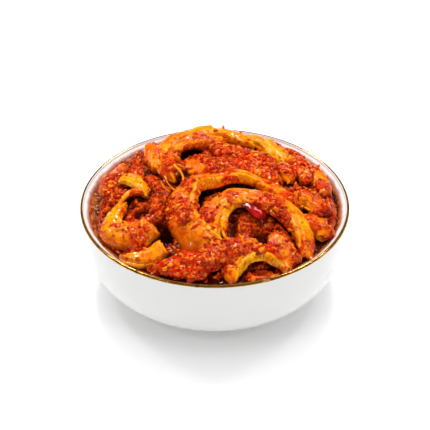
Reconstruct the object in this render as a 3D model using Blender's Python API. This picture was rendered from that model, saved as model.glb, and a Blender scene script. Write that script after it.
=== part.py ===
"""Bowl of elephant apple pickle: a porcelain bowl, its spiced oil, the heap of slices and a piece of chilli.

Lengths are in millimetres and angles in degrees until a mesh is made, which is in metres. +Z is up, the bowl
stands on z = 0 with its axis on the Z axis, and -Y is the side that faces the viewer.
"""

import math
from dataclasses import dataclass

import bmesh
import bpy
import numpy as np
from mathutils import Vector

MM = 0.001
GAP = 0.3  # clearance between touching solids

# The bowl. Its outer wall is a superellipse turned about the axis.
RIM_RADIUS = 63.5  # a five inch bowl
FOOT_HEIGHT = 2.5
BODY_HEIGHT = 40.9
RIM_HEIGHT = FOOT_HEIGHT + BODY_HEIGHT
BASE_RADIUS = 30.0  # where the belly meets the foot
BELLY_SIDE = 2.3  # superellipse powers: how full the belly is at the side and below
BELLY_BELOW = 3.4
FOOT_RADIUS = 31.5
FOOT_WIDTH = 4.0
FOOT_RECESS = 1.8
WALL = 4.3
FLOOR_THICKNESS = 4.0
LIP_RADIUS = 0.85  # the rounding of the lip's top
LIP_SLOPE_DEPTH = 3.6  # the inner side widens towards the lip over this height
LIP_SLOPE_WIDTH = 2.6
GILT_DEPTH = 0.9  # the gold runs this far down the outside of the lip
BOWL_SIDES = 56
PROFILE_STEPS = 7

# The contents. The oil stands a little below the lip, and the masala bed rises as a low dome in the middle.
OIL_LEVEL = 40.3
OIL_DEPTH = 6.5
DOME_X = 0.0
DOME_Y = 10.0
DOME_RADIUS = 62.0
DOME_RISE = 9.5
BED_EDGE = 3.0  # the bed slopes down to the oil over this width
BED_SIDES = 48
BED_RINGS = 12
BED_RELIEF = 0.9
OIL_WIDTH = 2.0  # usual width of the oil between the bed and the wall
OIL_WIDTH_LEAST = 1.8
COVES = ((146, 12, 4.5), (182, 20, 3.4), (228, 9, 2.6), (326, 12, 3.6))  # angle, half angle and extra width
BED_FREEBOARD = 0.6  # the bed's edge stands this far above the oil

SLICE_STEP = 8.0  # length of one step along a slice, in mm at its centre line
SLICE_SIDES = 7
SLICE_SHELL = 0.55  # superellipse power of a slice's section
SLICE_CORE = 0.9  # width of the section as a share of the slice's width, which includes its ragged edges

LUMPS = 20
LUMP_RADIUS = (2.2, 3.6)
LUMP_SEED = 7


@dataclass(frozen=True)
class Slice:
    """A slice of fruit: a band that follows a spiral arc over the heap and tapers at its ends."""

    name: str
    centre: tuple  # of the arc, in plan
    radius: tuple  # of the arc at its start, its middle and its end
    angle: tuple  # from start to end, counter-clockwise from +X
    lift: tuple  # height over the masala bed at its start, its middle and its end
    width: float
    thick: float
    roll: float  # the outer edge dips by this angle, and the inner edge stands up
    taper: tuple  # share of the width left at the start and at the end


SLICES = (
    Slice("great_arc", (4, -17), (29, 20.6, 25), (49, 272), (1.2, 2.8, 1.6), 17.5, 6.2, 36, (0.45, 0.45)),
    Slice("shoulder", (16, -34), (18.5, 24.2, 25), (200, -16), (0.6, 3.8, 0.8), 15.5, 5.6, 26, (0.45, 0.4)),
    Slice("inner_curl", (15, -27.5), (13, 12.6, 12.6), (222, 95), (0.4, 3.2, 2.8), 6.4, 3.2, 52, (0.3, 0.4)),
    Slice("front_arm", (18, -75), (35, 35, 35), (147, 88), (0.4, 2.8, 2.6), 12.5, 6.2, 12, (0.5, 0.6)),
    Slice("front_arch", (20.5, -56), (12, 14, 12.5), (186, 18), (0.3, 3.2, 0.6), 12.5, 5.2, 14, (0.4, 0.35)),
    Slice("hook", (-35, -21.5), (16, 10.8, 9.3), (112, 326), (0.8, 2.4, 2.6), 11.8, 6.0, 24, (0.45, 0.95)),
    Slice("left_rim", (-34.5, -10.4), (10.4, 10, 9.3), (205, 72), (0.8, 2.6, 1.6), 5.0, 2.4, 60, (0.4, 0.3)),
    Slice("left_foot", (-31.5, -31), (13.5, 13, 12), (222, 322), (0.6, 1.8, 1.2), 9.0, 5.2, 18, (0.4, 0.9)),
    Slice("left_wedge", (-54, -8), (22, 22, 22.5), (68, 12), (1.6, 2.8, 1.0), 9.4, 5.0, 18, (0.5, 0.7)),
    Slice("back_outer", (-3, 27), (21.5, 19.8, 21.6), (206, 78), (1.0, 3.4, 3.6), 11.5, 6.0, 8, (0.4, 0.8)),
    Slice("back_inner", (-3, 22), (22, 20.2, 18.4), (224, 58), (0.4, 2.6, 2.0), 11.4, 5.8, 26, (0.35, 0.5)),
    Slice("back_crest", (0, 24), (24, 24.2, 24.5), (104, 36), (3.4, 3.0, 1.0), 10.9, 5.5, 14, (0.7, 0.5)),
    Slice("right_band", (3, 10), (37.5, 36.5, 34.5), (80, 26), (1.0, 2.0, 0.8), 12.2, 5.3, 22, (0.55, 0.5)),
    Slice("middle_ridge", (0, 0), (31, 31, 31), (92, 24), (0.8, 1.8, 0.8), 10.4, 5.3, 10, (0.6, 0.5)),
    Slice("middle_band", (6, -18), (35, 34.5, 34), (122, 44), (0.6, 1.4, 0.6), 9.9, 4.8, 14, (0.5, 0.5)),
    Slice("flat_chip", (-18, 14), (9, 9, 9), (-24, 58), (1.0, 1.8, 1.2), 8.8, 3.0, 4, (0.7, 0.7)),
    Slice("pale_tip", (20, 14), (14, 14.5, 15), (36, -28), (1.2, 2.2, 0.6), 6.8, 3.9, 16, (0.6, 0.3)),
    Slice("right_lobe", (31, -16), (16.5, 17.5, 18.5), (62, 8), (1.0, 2.6, 0.8), 11.7, 5.3, 20, (0.6, 0.6)),
    Slice("right_wedge", (33, -32), (16, 17.3, 18), (68, 12), (0.8, 1.8, 1.0), 9.4, 4.6, 10, (0.5, 0.8)),
    Slice("right_wall", (0, 0), (50.5, 52, 53.5), (31, 2), (1.0, 1.6, 0.8), 7.8, 4.6, 8, (0.6, 0.5)),
    Slice("right_back", (10, 4), (38, 36, 34), (46, 8), (0.8, 1.8, 0.8), 8.6, 4.8, 10, (0.6, 0.5)),
    Slice("left_back_post", (-58, 30), (28, 27, 26), (22, -16), (0.8, 2.0, 0.6), 8.3, 5.1, 16, (0.7, 0.4)),
    Slice("left_back_rib", (-51, 26), (22, 22.5, 23), (28, -26), (0.8, 2.2, 0.6), 8.3, 5.1, 10, (0.6, 0.5)),
    Slice("left_wall", (0, 0), (52, 51, 50), (178, 150), (0.6, 1.2, 0.6), 7.6, 4.0, 6, (0.5, 0.6)),
    Slice("left_knot", (-44, 2), (9, 9.5, 10), (150, 40), (0.6, 1.8, 0.6), 7.8, 4.6, 12, (0.5, 0.5)),
    Slice("front_left", (-10, -66), (20.5, 21.2, 22), (134, 76), (0.6, 1.6, 0.8), 9.1, 5.1, 8, (0.6, 0.6)),
    Slice("front_wall", (0, 0), (53.5, 53.8, 54), (239, 262), (0.6, 1.2, 0.8), 6.0, 3.9, 6, (0.5, 0.5)),
    Slice("right_inner", (49, -27), (21.5, 22, 23), (184, 238), (0.4, 1.8, 0.8), 9.4, 5.1, 20, (0.35, 0.6)),
    Slice("shoulder_back", (10, -30), (36, 36.2, 36.5), (78, 32), (0.4, 1.2, 0.4), 8.3, 4.6, 18, (0.5, 0.4)),
)

# The hollows between the slices: middle, half widths, turn and depth.
PITS = (
    ((-25, -28.5), (7.5, 5.6), 86, 7.0),
    ((6, 3.5), (15, 6), 6, 7.0),
    ((-8.5, -13), (3.6, 10), 6, 6.5),
    ((-11, 35), (10, 5), 50, 6.0),
    ((22, -32), (5, 3.6), 143, 5.5),
)

# The chilli piece: a curved strip of skin lying across the inner curl.
CHILLI_CENTRE = (12, -26)
CHILLI_RADIUS = 9.5
CHILLI_ANGLE = (98, -6)
CHILLI_LIFT = 4.6
CHILLI_WIDTH = 8.4
CHILLI_THICK = 2.2
CHILLI_ROLL = 28.0
CHILLI_SIDES = 12
CHILLI_STEPS = 10


# ---------------------------------------------------------------- shared helpers


def material(name, colour, roughness, metallic=0.0):
    """A Principled material with one colour, given as linear RGB."""
    made = bpy.data.materials.new(name)
    made.use_nodes = True
    shader = made.node_tree.nodes["Principled BSDF"]
    shader.inputs["Base Color"].default_value = (*colour, 1.0)
    shader.inputs["Roughness"].default_value = roughness
    shader.inputs["Metallic"].default_value = metallic
    made.diffuse_color = (*colour, 1.0)
    return made


def mesh_object(name, points, faces, made_of, smooth_angle=40.0):
    """An object from points in millimetres and faces, with consistent normals and smooth sides."""
    mesh = bpy.data.meshes.new(name)
    mesh.from_pydata((np.asarray(points, float) * MM).tolist(), [], [list(map(int, f)) for f in faces])
    mesh.materials.append(made_of)
    work = bmesh.new()
    work.from_mesh(mesh)
    bmesh.ops.recalc_face_normals(work, faces=work.faces)
    work.to_mesh(mesh)
    work.free()
    mesh.shade_smooth()
    mesh.set_sharp_from_angle(angle=math.radians(smooth_angle))
    made = bpy.data.objects.new(name, mesh)
    bpy.context.scene.collection.objects.link(made)
    return made


def grid_faces(rows, columns, wrap_rows=False):
    """Quads of a grid whose columns close on themselves, and its rows too if wrap_rows is set."""
    last = rows if wrap_rows else rows - 1
    return [
        (
            i * columns + j,
            i * columns + (j + 1) % columns,
            (i + 1) % rows * columns + (j + 1) % columns,
            (i + 1) % rows * columns + j,
        )
        for i in range(last)
        for j in range(columns)
    ]


def turned(profile, sides):
    """Points and faces of a solid turned about the Z axis from a profile that starts and ends on it."""
    around = np.linspace(0, 2 * np.pi, sides, endpoint=False)
    ring = np.array(profile[1:-1])
    points = np.stack(
        [
            np.outer(ring[:, 0], np.cos(around)),
            np.outer(ring[:, 0], np.sin(around)),
            np.repeat(ring[:, 1:2], sides, axis=1),
        ],
        axis=-1,
    ).reshape(-1, 3)
    faces = grid_faces(len(ring), sides)
    first, last = len(points), len(points) + 1
    points = np.concatenate([points, [(0, 0, profile[0][1])], [(0, 0, profile[-1][1])]])
    end = (len(ring) - 1) * sides
    for j in range(sides):
        following = (j + 1) % sides
        faces.append((first, following, j))
        faces.append((last, end + j, end + following))
    return points, faces


def smooth_step(value):
    """0 below 0, 1 above 1, and a smooth rise between them."""
    t = np.clip(value, 0, 1)
    return t * t * (3 - 2 * t)


# ---------------------------------------------------------------- bowl


def belly(top_radius, base_radius, base_height, top_height, steps):
    """(radius, height) from the base to the top of a superellipse wall."""
    t = np.linspace(0, np.pi / 2, steps)
    radius = base_radius + (top_radius - base_radius) * np.sin(t) ** (2 / BELLY_SIDE)
    height = base_height + (top_height - base_height) * (1 - np.cos(t) ** (2 / BELLY_BELOW))
    return list(zip(radius, height, strict=True))


def inner_profile(clearance=0.0):
    """(radius, height) of the bowl's inner surface from the axis to the lip, moved inwards by clearance."""
    floor = FOOT_HEIGHT + FLOOR_THICKNESS + clearance
    top = RIM_HEIGHT - LIP_SLOPE_DEPTH
    neck = RIM_RADIUS - 2 * LIP_RADIUS - LIP_SLOPE_WIDTH
    wall = belly(neck - clearance, BASE_RADIUS - WALL, floor, top, PROFILE_STEPS)
    slope = [
        (neck - clearance + LIP_SLOPE_WIDTH * s**1.5, top + (LIP_SLOPE_DEPTH - LIP_RADIUS) * s)
        for s in (0.35, 0.7, 1.0)
    ]
    return [(0.0, floor), *wall, *slope]


def inner_radius(height):
    """Radius of the bowl's inside at a height."""
    radii, heights = zip(*inner_profile()[1:], strict=True)
    return float(np.interp(height, heights, radii))


def bowl_profile():
    """The bowl's section: from the axis round the foot, up the outside, over the lip and down the inside."""
    under = FOOT_HEIGHT - FOOT_RECESS + 0.6
    foot = [
        (0.0, under),
        (FOOT_RADIUS - FOOT_WIDTH - 0.8, under),
        (FOOT_RADIUS - FOOT_WIDTH + 0.2, 0.0),
        (FOOT_RADIUS - 0.6, 0.0),
        (FOOT_RADIUS, 0.6),
        (FOOT_RADIUS + 0.2, FOOT_HEIGHT + 0.3),
    ]
    lip_top = RIM_HEIGHT - LIP_RADIUS
    outside = belly(RIM_RADIUS, BASE_RADIUS, FOOT_HEIGHT, lip_top, PROFILE_STEPS + 4)
    outside = [p for p in outside if p[0] > FOOT_RADIUS + 1.2]
    centre = RIM_RADIUS - LIP_RADIUS
    lip = [
        (centre + LIP_RADIUS * math.cos(a), lip_top + LIP_RADIUS * math.sin(a))
        for a in np.radians((36, 72, 108, 144))
    ]
    inside = inner_profile()[::-1]
    gilt_line = (RIM_RADIUS - 0.02, RIM_HEIGHT - GILT_DEPTH - 0.2)
    return [*foot, *outside[:-1], gilt_line, outside[-1], *lip, *inside]


def make_bowl(porcelain, gold):
    """The porcelain bowl, with gold on the faces of its lip."""
    made = mesh_object("bowl", *turned(bowl_profile(), BOWL_SIDES), porcelain)
    made.data.materials.append(gold)
    for face in made.data.polygons:
        middle = face.center / MM
        on_lip = middle.z > RIM_HEIGHT - GILT_DEPTH
        outside = math.hypot(middle.x, middle.y) > RIM_RADIUS - 2 * LIP_RADIUS
        if on_lip and outside:
            face.material_index = 1
    return made


# ---------------------------------------------------------------- oil and masala bed


def bed_outline(angle):
    """Radius of the masala bed at the oil's surface, which leaves a narrow ring of oil with wider coves."""
    degrees = np.degrees(angle) % 360
    oil_width = OIL_WIDTH + 0.5 * np.sin(3 * angle + 0.6) + 0.4 * np.sin(7 * angle)
    for middle, half, extra in COVES:
        oil_width = oil_width + extra * np.exp(-(((degrees - middle) / half) ** 2))
    return inner_radius(OIL_LEVEL) - np.clip(oil_width, OIL_WIDTH_LEAST, None)


def dome_height(x, y):
    """Height of the dome that the masala bed follows and that the slices lie on."""
    share = np.hypot(x - DOME_X, y - DOME_Y) / DOME_RADIUS
    return OIL_LEVEL + BED_FREEBOARD + DOME_RISE * np.clip(1 - share**2, 0, None)


def bed_relief(x, y):
    """Lumps of paste: crossed waves of about 6 and 9 mm."""
    wide = np.sin(x / 1.45 + 1.3 * np.sin(y / 3.1)) * np.sin(y / 1.6 + 1.1 * np.sin(x / 2.7))
    fine = np.sin(x / 0.95 - y / 1.2) * np.sin(y / 1.0 + x / 2.2)
    return BED_RELIEF * (0.7 * wide + 0.3 * fine)


def pit_depth(x, y):
    """Depth of the hollows: each is its depth times exp(-r^4), with r as a share of its half widths."""
    depth = np.zeros_like(x)
    for middle, half, turn, deepest in PITS:
        turn = math.radians(turn)
        dx, dy = x - middle[0], y - middle[1]
        across = (dx * math.cos(turn) + dy * math.sin(turn)) / half[0]
        along = (dy * math.cos(turn) - dx * math.sin(turn)) / half[1]
        depth = np.maximum(depth, deepest * np.exp(-((across**2 + along**2) ** 2)))
    return depth


def bed_surface(radius_share, angle):
    """Point of the bed's top at a share of its outline's radius."""
    outline = bed_outline(angle)
    radius = outline * radius_share
    x, y = radius * np.cos(angle), radius * np.sin(angle)
    inward = smooth_step((outline - radius) / BED_EDGE)
    edge = OIL_LEVEL + BED_FREEBOARD
    height = edge + (dome_height(x, y) + bed_relief(x, y) - pit_depth(x, y) - edge) * inward
    height = np.maximum(height, edge - 0.6)
    return np.stack([x, y, height], axis=-1)


def ring_at(radius, height, around):
    """A ring of points at a radius, which may vary with the angle."""
    return np.stack(
        [radius * np.cos(around), radius * np.sin(around), np.full_like(around, height)], axis=-1
    )


def make_bed(masala):
    """The core of the heap: the dome, its edge at the oil, the oil's channel, and the fill below."""
    around = np.linspace(0, 2 * np.pi, BED_SIDES, endpoint=False)
    shares = np.linspace(0, 1, BED_RINGS + 1)[1:] ** 0.8
    rings = [bed_surface(share, around) for share in shares]
    outline = bed_outline(around)
    channel = OIL_LEVEL - OIL_DEPTH
    rings.append(ring_at(outline, channel, around))
    below = [p for p in inner_profile(GAP + 0.1)[1:] if p[1] < channel - 3.0]
    rings.append(ring_at(np.full_like(around, inner_radius(channel) - GAP - 0.15), channel - 0.4, around))
    rings.extend(ring_at(np.full_like(around, r - 0.15), h, around) for r, h in below[::-1])
    rings.append(ring_at(np.full_like(around, 0.55 * below[0][0]), below[0][1], around))
    points = np.concatenate(rings)
    faces = grid_faces(len(rings), BED_SIDES)
    top, bottom = len(points), len(points) + 1
    start = (len(rings) - 1) * BED_SIDES
    middle = float(dome_height(0, 0) + bed_relief(0, 0))
    points = np.concatenate([points, [(0, 0, middle)], [(0, 0, below[0][1])]])
    for j in range(BED_SIDES):
        following = (j + 1) % BED_SIDES
        faces.append((top, j, following))
        faces.append((bottom, start + following, start + j))
    return mesh_object("pickle_heap", points, faces, masala)


def make_oil(oil):
    """The oil in the channel between the bowl's wall and the bare bed, flat at its level."""
    around = np.linspace(0, 2 * np.pi, BED_SIDES, endpoint=False)
    low = OIL_LEVEL - OIL_DEPTH + GAP
    wall = GAP + 0.1
    inner = bed_outline(around) + GAP
    rings = [
        ring_at(inner, OIL_LEVEL, around),
        ring_at(np.full_like(around, inner_radius(OIL_LEVEL) - wall), OIL_LEVEL, around),
        ring_at(np.full_like(around, inner_radius(low) - wall), low, around),
        ring_at(inner, low, around),
    ]
    faces = grid_faces(len(rings), BED_SIDES, wrap_rows=True)
    return mesh_object("spiced_oil", np.concatenate(rings), faces, oil, 30)


# ---------------------------------------------------------------- slices


def along_parabola(values, share):
    """The parabola through three values, at shares 0, one half and 1."""
    start, middle, end = values
    from_start = start * (1 - share) * (1 - 2 * share)
    to_end = end * share * (2 * share - 1)
    return from_start + 4 * middle * share * (1 - share) + to_end


def slice_path(piece, share):
    """Centre line of a slice at shares of its length, and the outward direction of its arc there."""
    angle = np.radians(piece.angle[0] + (piece.angle[1] - piece.angle[0]) * share)
    radius = along_parabola(piece.radius, share)
    outward = np.stack([np.cos(angle), np.sin(angle), np.zeros_like(angle)], axis=-1)
    x = piece.centre[0] + radius * outward[:, 0]
    y = piece.centre[1] + radius * outward[:, 1]
    return np.stack([x, y, dome_height(x, y) + along_parabola(piece.lift, share)], axis=-1), outward


def slice_taper(piece, share):
    """Share of the full width along a slice, which narrows over a third of its length at each end."""
    start = piece.taper[0] + (1 - piece.taper[0]) * np.sin(np.clip(share / 0.35, 0, 1) * np.pi / 2)
    end = piece.taper[1] + (1 - piece.taper[1]) * np.sin(np.clip((1 - share) / 0.35, 0, 1) * np.pi / 2)
    return start * end


def swept(path, outward, width, thick, roll, sides, power):
    """Points and faces of a band along a path: a rounded section turned by roll, with domed ends."""
    forward = np.gradient(path, axis=0)
    forward /= np.linalg.norm(forward, axis=1, keepdims=True)
    across = outward - (outward * forward).sum(1, keepdims=True) * forward
    across /= np.linalg.norm(across, axis=1, keepdims=True)
    up = np.cross(forward, across)
    up *= np.sign(up[:, 2:3])
    tilt = math.radians(roll)
    wide = across * math.cos(tilt) - up * math.sin(tilt)
    high = across * math.sin(tilt) + up * math.cos(tilt)
    turn = np.linspace(0, 2 * np.pi, sides, endpoint=False)
    u = np.sign(np.cos(turn)) * np.abs(np.cos(turn)) ** power / 2
    v = np.sign(np.sin(turn)) * np.abs(np.sin(turn)) ** power / 2
    points = (
        path[:, None]
        + wide[:, None] * (u * np.asarray(width)[:, None])[..., None]
        + high[:, None] * (v * np.asarray(thick)[:, None])[..., None]
    ).reshape(-1, 3)
    rows = len(path)
    faces = grid_faces(rows, sides)
    overhang = 0.25 * thick[0]
    ends = [path[0] - forward[0] * overhang, path[-1] + forward[-1] * overhang]
    first, last = len(points), len(points) + 1
    points = np.concatenate([points, ends])
    start = (rows - 1) * sides
    for j in range(sides):
        following = (j + 1) % sides
        faces.append((first, following, j))
        faces.append((last, start + j, start + following))
    return points, faces


def make_slice(piece, fruit, cutter):
    """One slice as a solid, cut back where it would meet the bowl or the oil."""
    span = abs(math.radians(piece.angle[1] - piece.angle[0])) * sum(piece.radius) / 3
    steps = max(6, round(span / SLICE_STEP)) + 1
    share = 0.5 - 0.5 * np.cos(np.linspace(0, np.pi, steps)) * 0.999
    share = 0.35 * share + 0.65 * np.linspace(0, 1, steps)
    path, outward = slice_path(piece, share)
    narrow = slice_taper(piece, share)
    width, thick = SLICE_CORE * piece.width * narrow, piece.thick * np.sqrt(narrow)
    made = mesh_object(
        piece.name, *swept(path, outward, width, thick, piece.roll, SLICE_SIDES, SLICE_SHELL), fruit
    )
    add_boolean(made, "DIFFERENCE", cutter)
    return made


def make_lump(number, x, y, radius, masala, cutter):
    """A lump of masala paste: a squat icosphere half sunk in the bed."""
    mesh = bpy.data.meshes.new(f"lump_{number}")
    work = bmesh.new()
    bmesh.ops.create_icosphere(work, subdivisions=1, radius=radius * MM)
    bmesh.ops.scale(work, vec=Vector((1.0, 1.15, 0.75)), verts=work.verts)
    height = float(dome_height(x, y)) + 0.15 * radius
    bmesh.ops.translate(work, vec=Vector((x, y, height)) * MM, verts=work.verts)
    work.to_mesh(mesh)
    work.free()
    mesh.materials.append(masala)
    made = bpy.data.objects.new(mesh.name, mesh)
    bpy.context.scene.collection.objects.link(made)
    add_boolean(made, "DIFFERENCE", cutter)
    return made


def lump_places():
    """(x, y, radius) of the lumps, spread over the bed by the golden angle with a small seeded shift."""
    draw = np.random.default_rng(LUMP_SEED)
    number = np.arange(LUMPS)
    spread = np.sqrt((number + 0.5) / LUMPS) * 50.0
    turn = number * math.radians(137.5)
    shift = draw.uniform(-2.0, 2.0, (LUMPS, 2))
    radius = draw.uniform(*LUMP_RADIUS, LUMPS)
    return zip(spread * np.cos(turn) + shift[:, 0], spread * np.sin(turn) + shift[:, 1], radius, strict=True)


def make_cutter():
    """What the slices must stay out of: everything below the oil's top and outside the bowl's inner wall."""
    clear = GAP + 0.15
    level = OIL_LEVEL + clear
    reach, depth = RIM_RADIUS + 30.0, -10.0
    wall = [(r, h) for r, h in inner_profile(clear)[1:] if h > level + 0.5]
    lip = [(RIM_RADIUS - 2 * LIP_RADIUS, RIM_HEIGHT + clear), (reach, RIM_HEIGHT + clear)]
    profile = [(0.0, depth), (reach, depth), *lip[::-1], *wall[::-1]]
    profile += [(inner_radius(level) - clear, level), (0.0, level)]
    none = material("cutter", (0.5, 0.5, 0.5), 0.5)
    made = mesh_object("keep_out", *turned(profile, BOWL_SIDES), none)
    hide(made)
    return made


def chilli_mesh(name, grow, made_of):
    """The chilli piece, made larger all round by grow for the pocket that it lies in."""
    share = np.linspace(0, 1, CHILLI_STEPS)
    angle = np.radians(CHILLI_ANGLE[0] + (CHILLI_ANGLE[1] - CHILLI_ANGLE[0]) * share)
    outward = np.stack([np.cos(angle), np.sin(angle), np.zeros_like(angle)], axis=-1)
    x = CHILLI_CENTRE[0] + CHILLI_RADIUS * outward[:, 0]
    y = CHILLI_CENTRE[1] + CHILLI_RADIUS * outward[:, 1]
    path = np.stack([x, y, dome_height(x, y) + CHILLI_LIFT], axis=-1)
    narrow = 0.35 + 0.65 * np.sin(np.pi * share) ** 0.7
    width = CHILLI_WIDTH * narrow + 2 * grow
    thick = CHILLI_THICK * np.sqrt(narrow) + 2 * grow
    if grow:
        ends = (path[1] - path[0], path[-1] - path[-2])
        path[0] -= 2 * grow * ends[0] / np.linalg.norm(ends[0])
        path[-1] += 2 * grow * ends[1] / np.linalg.norm(ends[1])
    return mesh_object(name, *swept(path, outward, width, thick, CHILLI_ROLL, CHILLI_SIDES, 0.8), made_of)


# ---------------------------------------------------------------- joining


def hide(helper):
    """Marks a cutter as a helper, which isn't part of the object."""
    helper.hide_render = True
    helper.display_type = "WIRE"


def add_boolean(target, operation, other):
    """Adds a Boolean with one object or with a collection of them."""
    modifier = target.modifiers.new(operation.lower(), "BOOLEAN")
    modifier.operation = operation
    modifier.solver = "MANIFOLD"
    if isinstance(other, bpy.types.Collection):
        modifier.operand_type = "COLLECTION"
        modifier.collection = other
    else:
        modifier.object = other


def apply_modifiers(target):
    """Replaces the object's mesh by what its modifiers make of it."""
    bpy.context.view_layer.update()
    graph = bpy.context.evaluated_depsgraph_get()
    mesh = bpy.data.meshes.new_from_object(target.evaluated_get(graph))
    target.modifiers.clear()
    target.data = mesh


def keep_largest_body(target):
    """Drops the loose scraps that a cut leaves, and fills sealed hollows by dropping their inner shells."""
    work = bmesh.new()
    work.from_mesh(target.data)
    work.faces.ensure_lookup_table()
    left, bodies = set(work.faces), []
    while left:
        body, edge = set(), [left.pop()]
        while edge:
            face = edge.pop()
            body.add(face)
            for border in face.edges:
                for other in border.link_faces:
                    if other in left:
                        left.discard(other)
                        edge.append(other)
        bodies.append(body)
    largest = max(bodies, key=len)
    scraps = [face for body in bodies if body is not largest for face in body]
    bmesh.ops.delete(work, geom=scraps, context="FACES")
    work.to_mesh(target.data)
    work.free()


def make_heap(masala, fruit, chilli):
    """The bed with every slice and lump joined on, and a pocket cut for the chilli piece."""
    heap = make_bed(masala)
    cutter = make_cutter()
    pieces = bpy.data.collections.new("pieces")
    bpy.context.scene.collection.children.link(pieces)
    made = [make_slice(piece, fruit, cutter) for piece in SLICES]
    made += [make_lump(i, x, y, r, masala, cutter) for i, (x, y, r) in enumerate(lump_places())]
    for piece in made:
        apply_modifiers(piece)
        bpy.context.scene.collection.objects.unlink(piece)
        if piece.data.polygons:
            pieces.objects.link(piece)
    add_boolean(heap, "UNION", pieces)
    apply_modifiers(heap)
    pocket = chilli_mesh("pocket", GAP, chilli)
    hide(pocket)
    add_boolean(heap, "DIFFERENCE", pocket)
    apply_modifiers(heap)
    keep_largest_body(heap)
    for helper in (*made, cutter, pocket):
        bpy.data.objects.remove(helper)
    bpy.data.collections.remove(pieces)
    return heap


def main():
    """Clears the scene and builds the four solids."""
    for old in list(bpy.data.objects):
        bpy.data.objects.remove(old)
    porcelain = material("porcelain", (0.86, 0.86, 0.85), 0.12)
    gold = material("gold", (0.72, 0.48, 0.16), 0.2, 1.0)
    masala = material("masala", (0.42, 0.06, 0.01), 0.35)
    fruit = material("fruit", (0.86, 0.30, 0.02), 0.3)
    chilli = material("chilli", (0.28, 0.01, 0.005), 0.15)
    oil = material("oil", (0.20, 0.03, 0.005), 0.06)
    make_bowl(porcelain, gold)
    make_oil(oil)
    make_heap(masala, fruit, chilli)
    chilli_mesh("chilli_piece", 0.0, chilli)


if __name__ == "__main__":
    main()
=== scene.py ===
"""Looks of the bowl of elephant apple pickle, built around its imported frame.

Lengths are in metres; the sizes written with MM are millimetres. +Z is up, the bowl's axis is the Z axis and
the viewer stands on the -Y side. Every shape is a surface over two parameters worked out with numpy.
"""

import itertools
import logging
import math
from dataclasses import dataclass, field
from enum import Enum

import bpy
import numpy as np
from mathutils import Matrix, Vector

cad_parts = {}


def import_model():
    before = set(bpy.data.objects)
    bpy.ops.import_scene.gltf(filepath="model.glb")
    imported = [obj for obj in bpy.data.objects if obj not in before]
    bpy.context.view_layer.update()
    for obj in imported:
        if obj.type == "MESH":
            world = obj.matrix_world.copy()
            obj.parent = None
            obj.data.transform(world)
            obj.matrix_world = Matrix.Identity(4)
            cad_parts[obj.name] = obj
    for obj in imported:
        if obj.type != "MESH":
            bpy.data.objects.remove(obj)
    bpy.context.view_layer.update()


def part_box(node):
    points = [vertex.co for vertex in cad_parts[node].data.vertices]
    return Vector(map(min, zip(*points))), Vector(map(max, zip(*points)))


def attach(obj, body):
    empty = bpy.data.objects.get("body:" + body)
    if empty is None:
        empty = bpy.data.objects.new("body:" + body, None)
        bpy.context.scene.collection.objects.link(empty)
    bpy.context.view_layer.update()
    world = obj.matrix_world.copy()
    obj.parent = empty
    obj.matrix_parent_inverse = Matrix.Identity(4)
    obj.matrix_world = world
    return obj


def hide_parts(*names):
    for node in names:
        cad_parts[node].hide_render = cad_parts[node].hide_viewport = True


Pair = tuple[float, float]
Triple = tuple[float, float, float]
Socket = bpy.types.NodeSocket

MM = 0.001
BODY = "root"
SPICE_SEED = 4
log = logging.getLogger("pickle_bowl")


# ---------------------------------------------------------------- measures taken from the frame


@dataclass(frozen=True)
class Measures:
    """The bowl's and the filling's main sizes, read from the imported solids, in metres."""

    rim_radius: float
    rim_height: float
    oil_level: float

    @classmethod
    def from_frame(cls) -> "Measures":
        """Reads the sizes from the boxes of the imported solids.

        Returns:
            The measures.
        """
        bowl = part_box("bowl")[1]
        return cls(bowl.x, bowl.z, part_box("spiced_oil")[1].z)


# ---------------------------------------------------------------- fields of noise


def hashed(place: np.ndarray, seed: int) -> np.ndarray:
    """Random numbers from 0 to 1 for lattice places: whole coordinates are multiplied by primes and mixed.

    Args:
        place: whole numbers, (..., 3).
        seed: picks another set of numbers.

    Returns:
        One number for each place.
    """
    code = place[..., 0] * 73856093 ^ place[..., 1] * 19349663 ^ place[..., 2] * 83492791
    code = (code ^ (seed * 668265263 + 374761393)) & 0x7FFFFFFF
    code = (code ^ (code >> 13)) * 1274126177 & 0x7FFFFFFF
    code = (code ^ (code >> 11)) * 668265263 & 0x7FFFFFFF
    return ((code ^ (code >> 15)) & 0xFFFFF) / 0xFFFFF


def soft_noise(points: np.ndarray, size: float, seed: int) -> np.ndarray:
    """Smooth noise from -1 to 1: random numbers at a cube's eight corners, blended by 6t^5 - 15t^4 + 10t^3.

    Args:
        points: places, (..., 3), in metres.
        size: edge of the lattice's cubes, in metres.
        seed: picks another field.

    Returns:
        The field at each point.
    """
    scaled = points / size
    low = np.floor(scaled).astype(np.int64)
    share = scaled - low
    ease = share**3 * (share * (share * 6 - 15) + 10)
    total = np.zeros(points.shape[:-1])
    for corner in itertools.product((0, 1), repeat=3):
        weight = np.prod(np.where(np.array(corner) == 1, ease, 1 - ease), axis=-1)
        total += weight * hashed(low + np.array(corner), seed)
    return total * 2 - 1


def layered_noise(points: np.ndarray, size: float, layers: int, seed: int) -> np.ndarray:
    """Sum of soft noises, each half the size and half the height of the one before, scaled to about -1 to 1.

    Args:
        points: places, (..., 3), in metres.
        size: lattice size of the coarsest layer, in metres.
        layers: number of layers.
        seed: picks another field.

    Returns:
        The field at each point.
    """
    total = sum(soft_noise(points, size / 2**i, seed + i) / 2**i for i in range(layers))
    return total / (2 - 2.0 ** (1 - layers))


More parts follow.
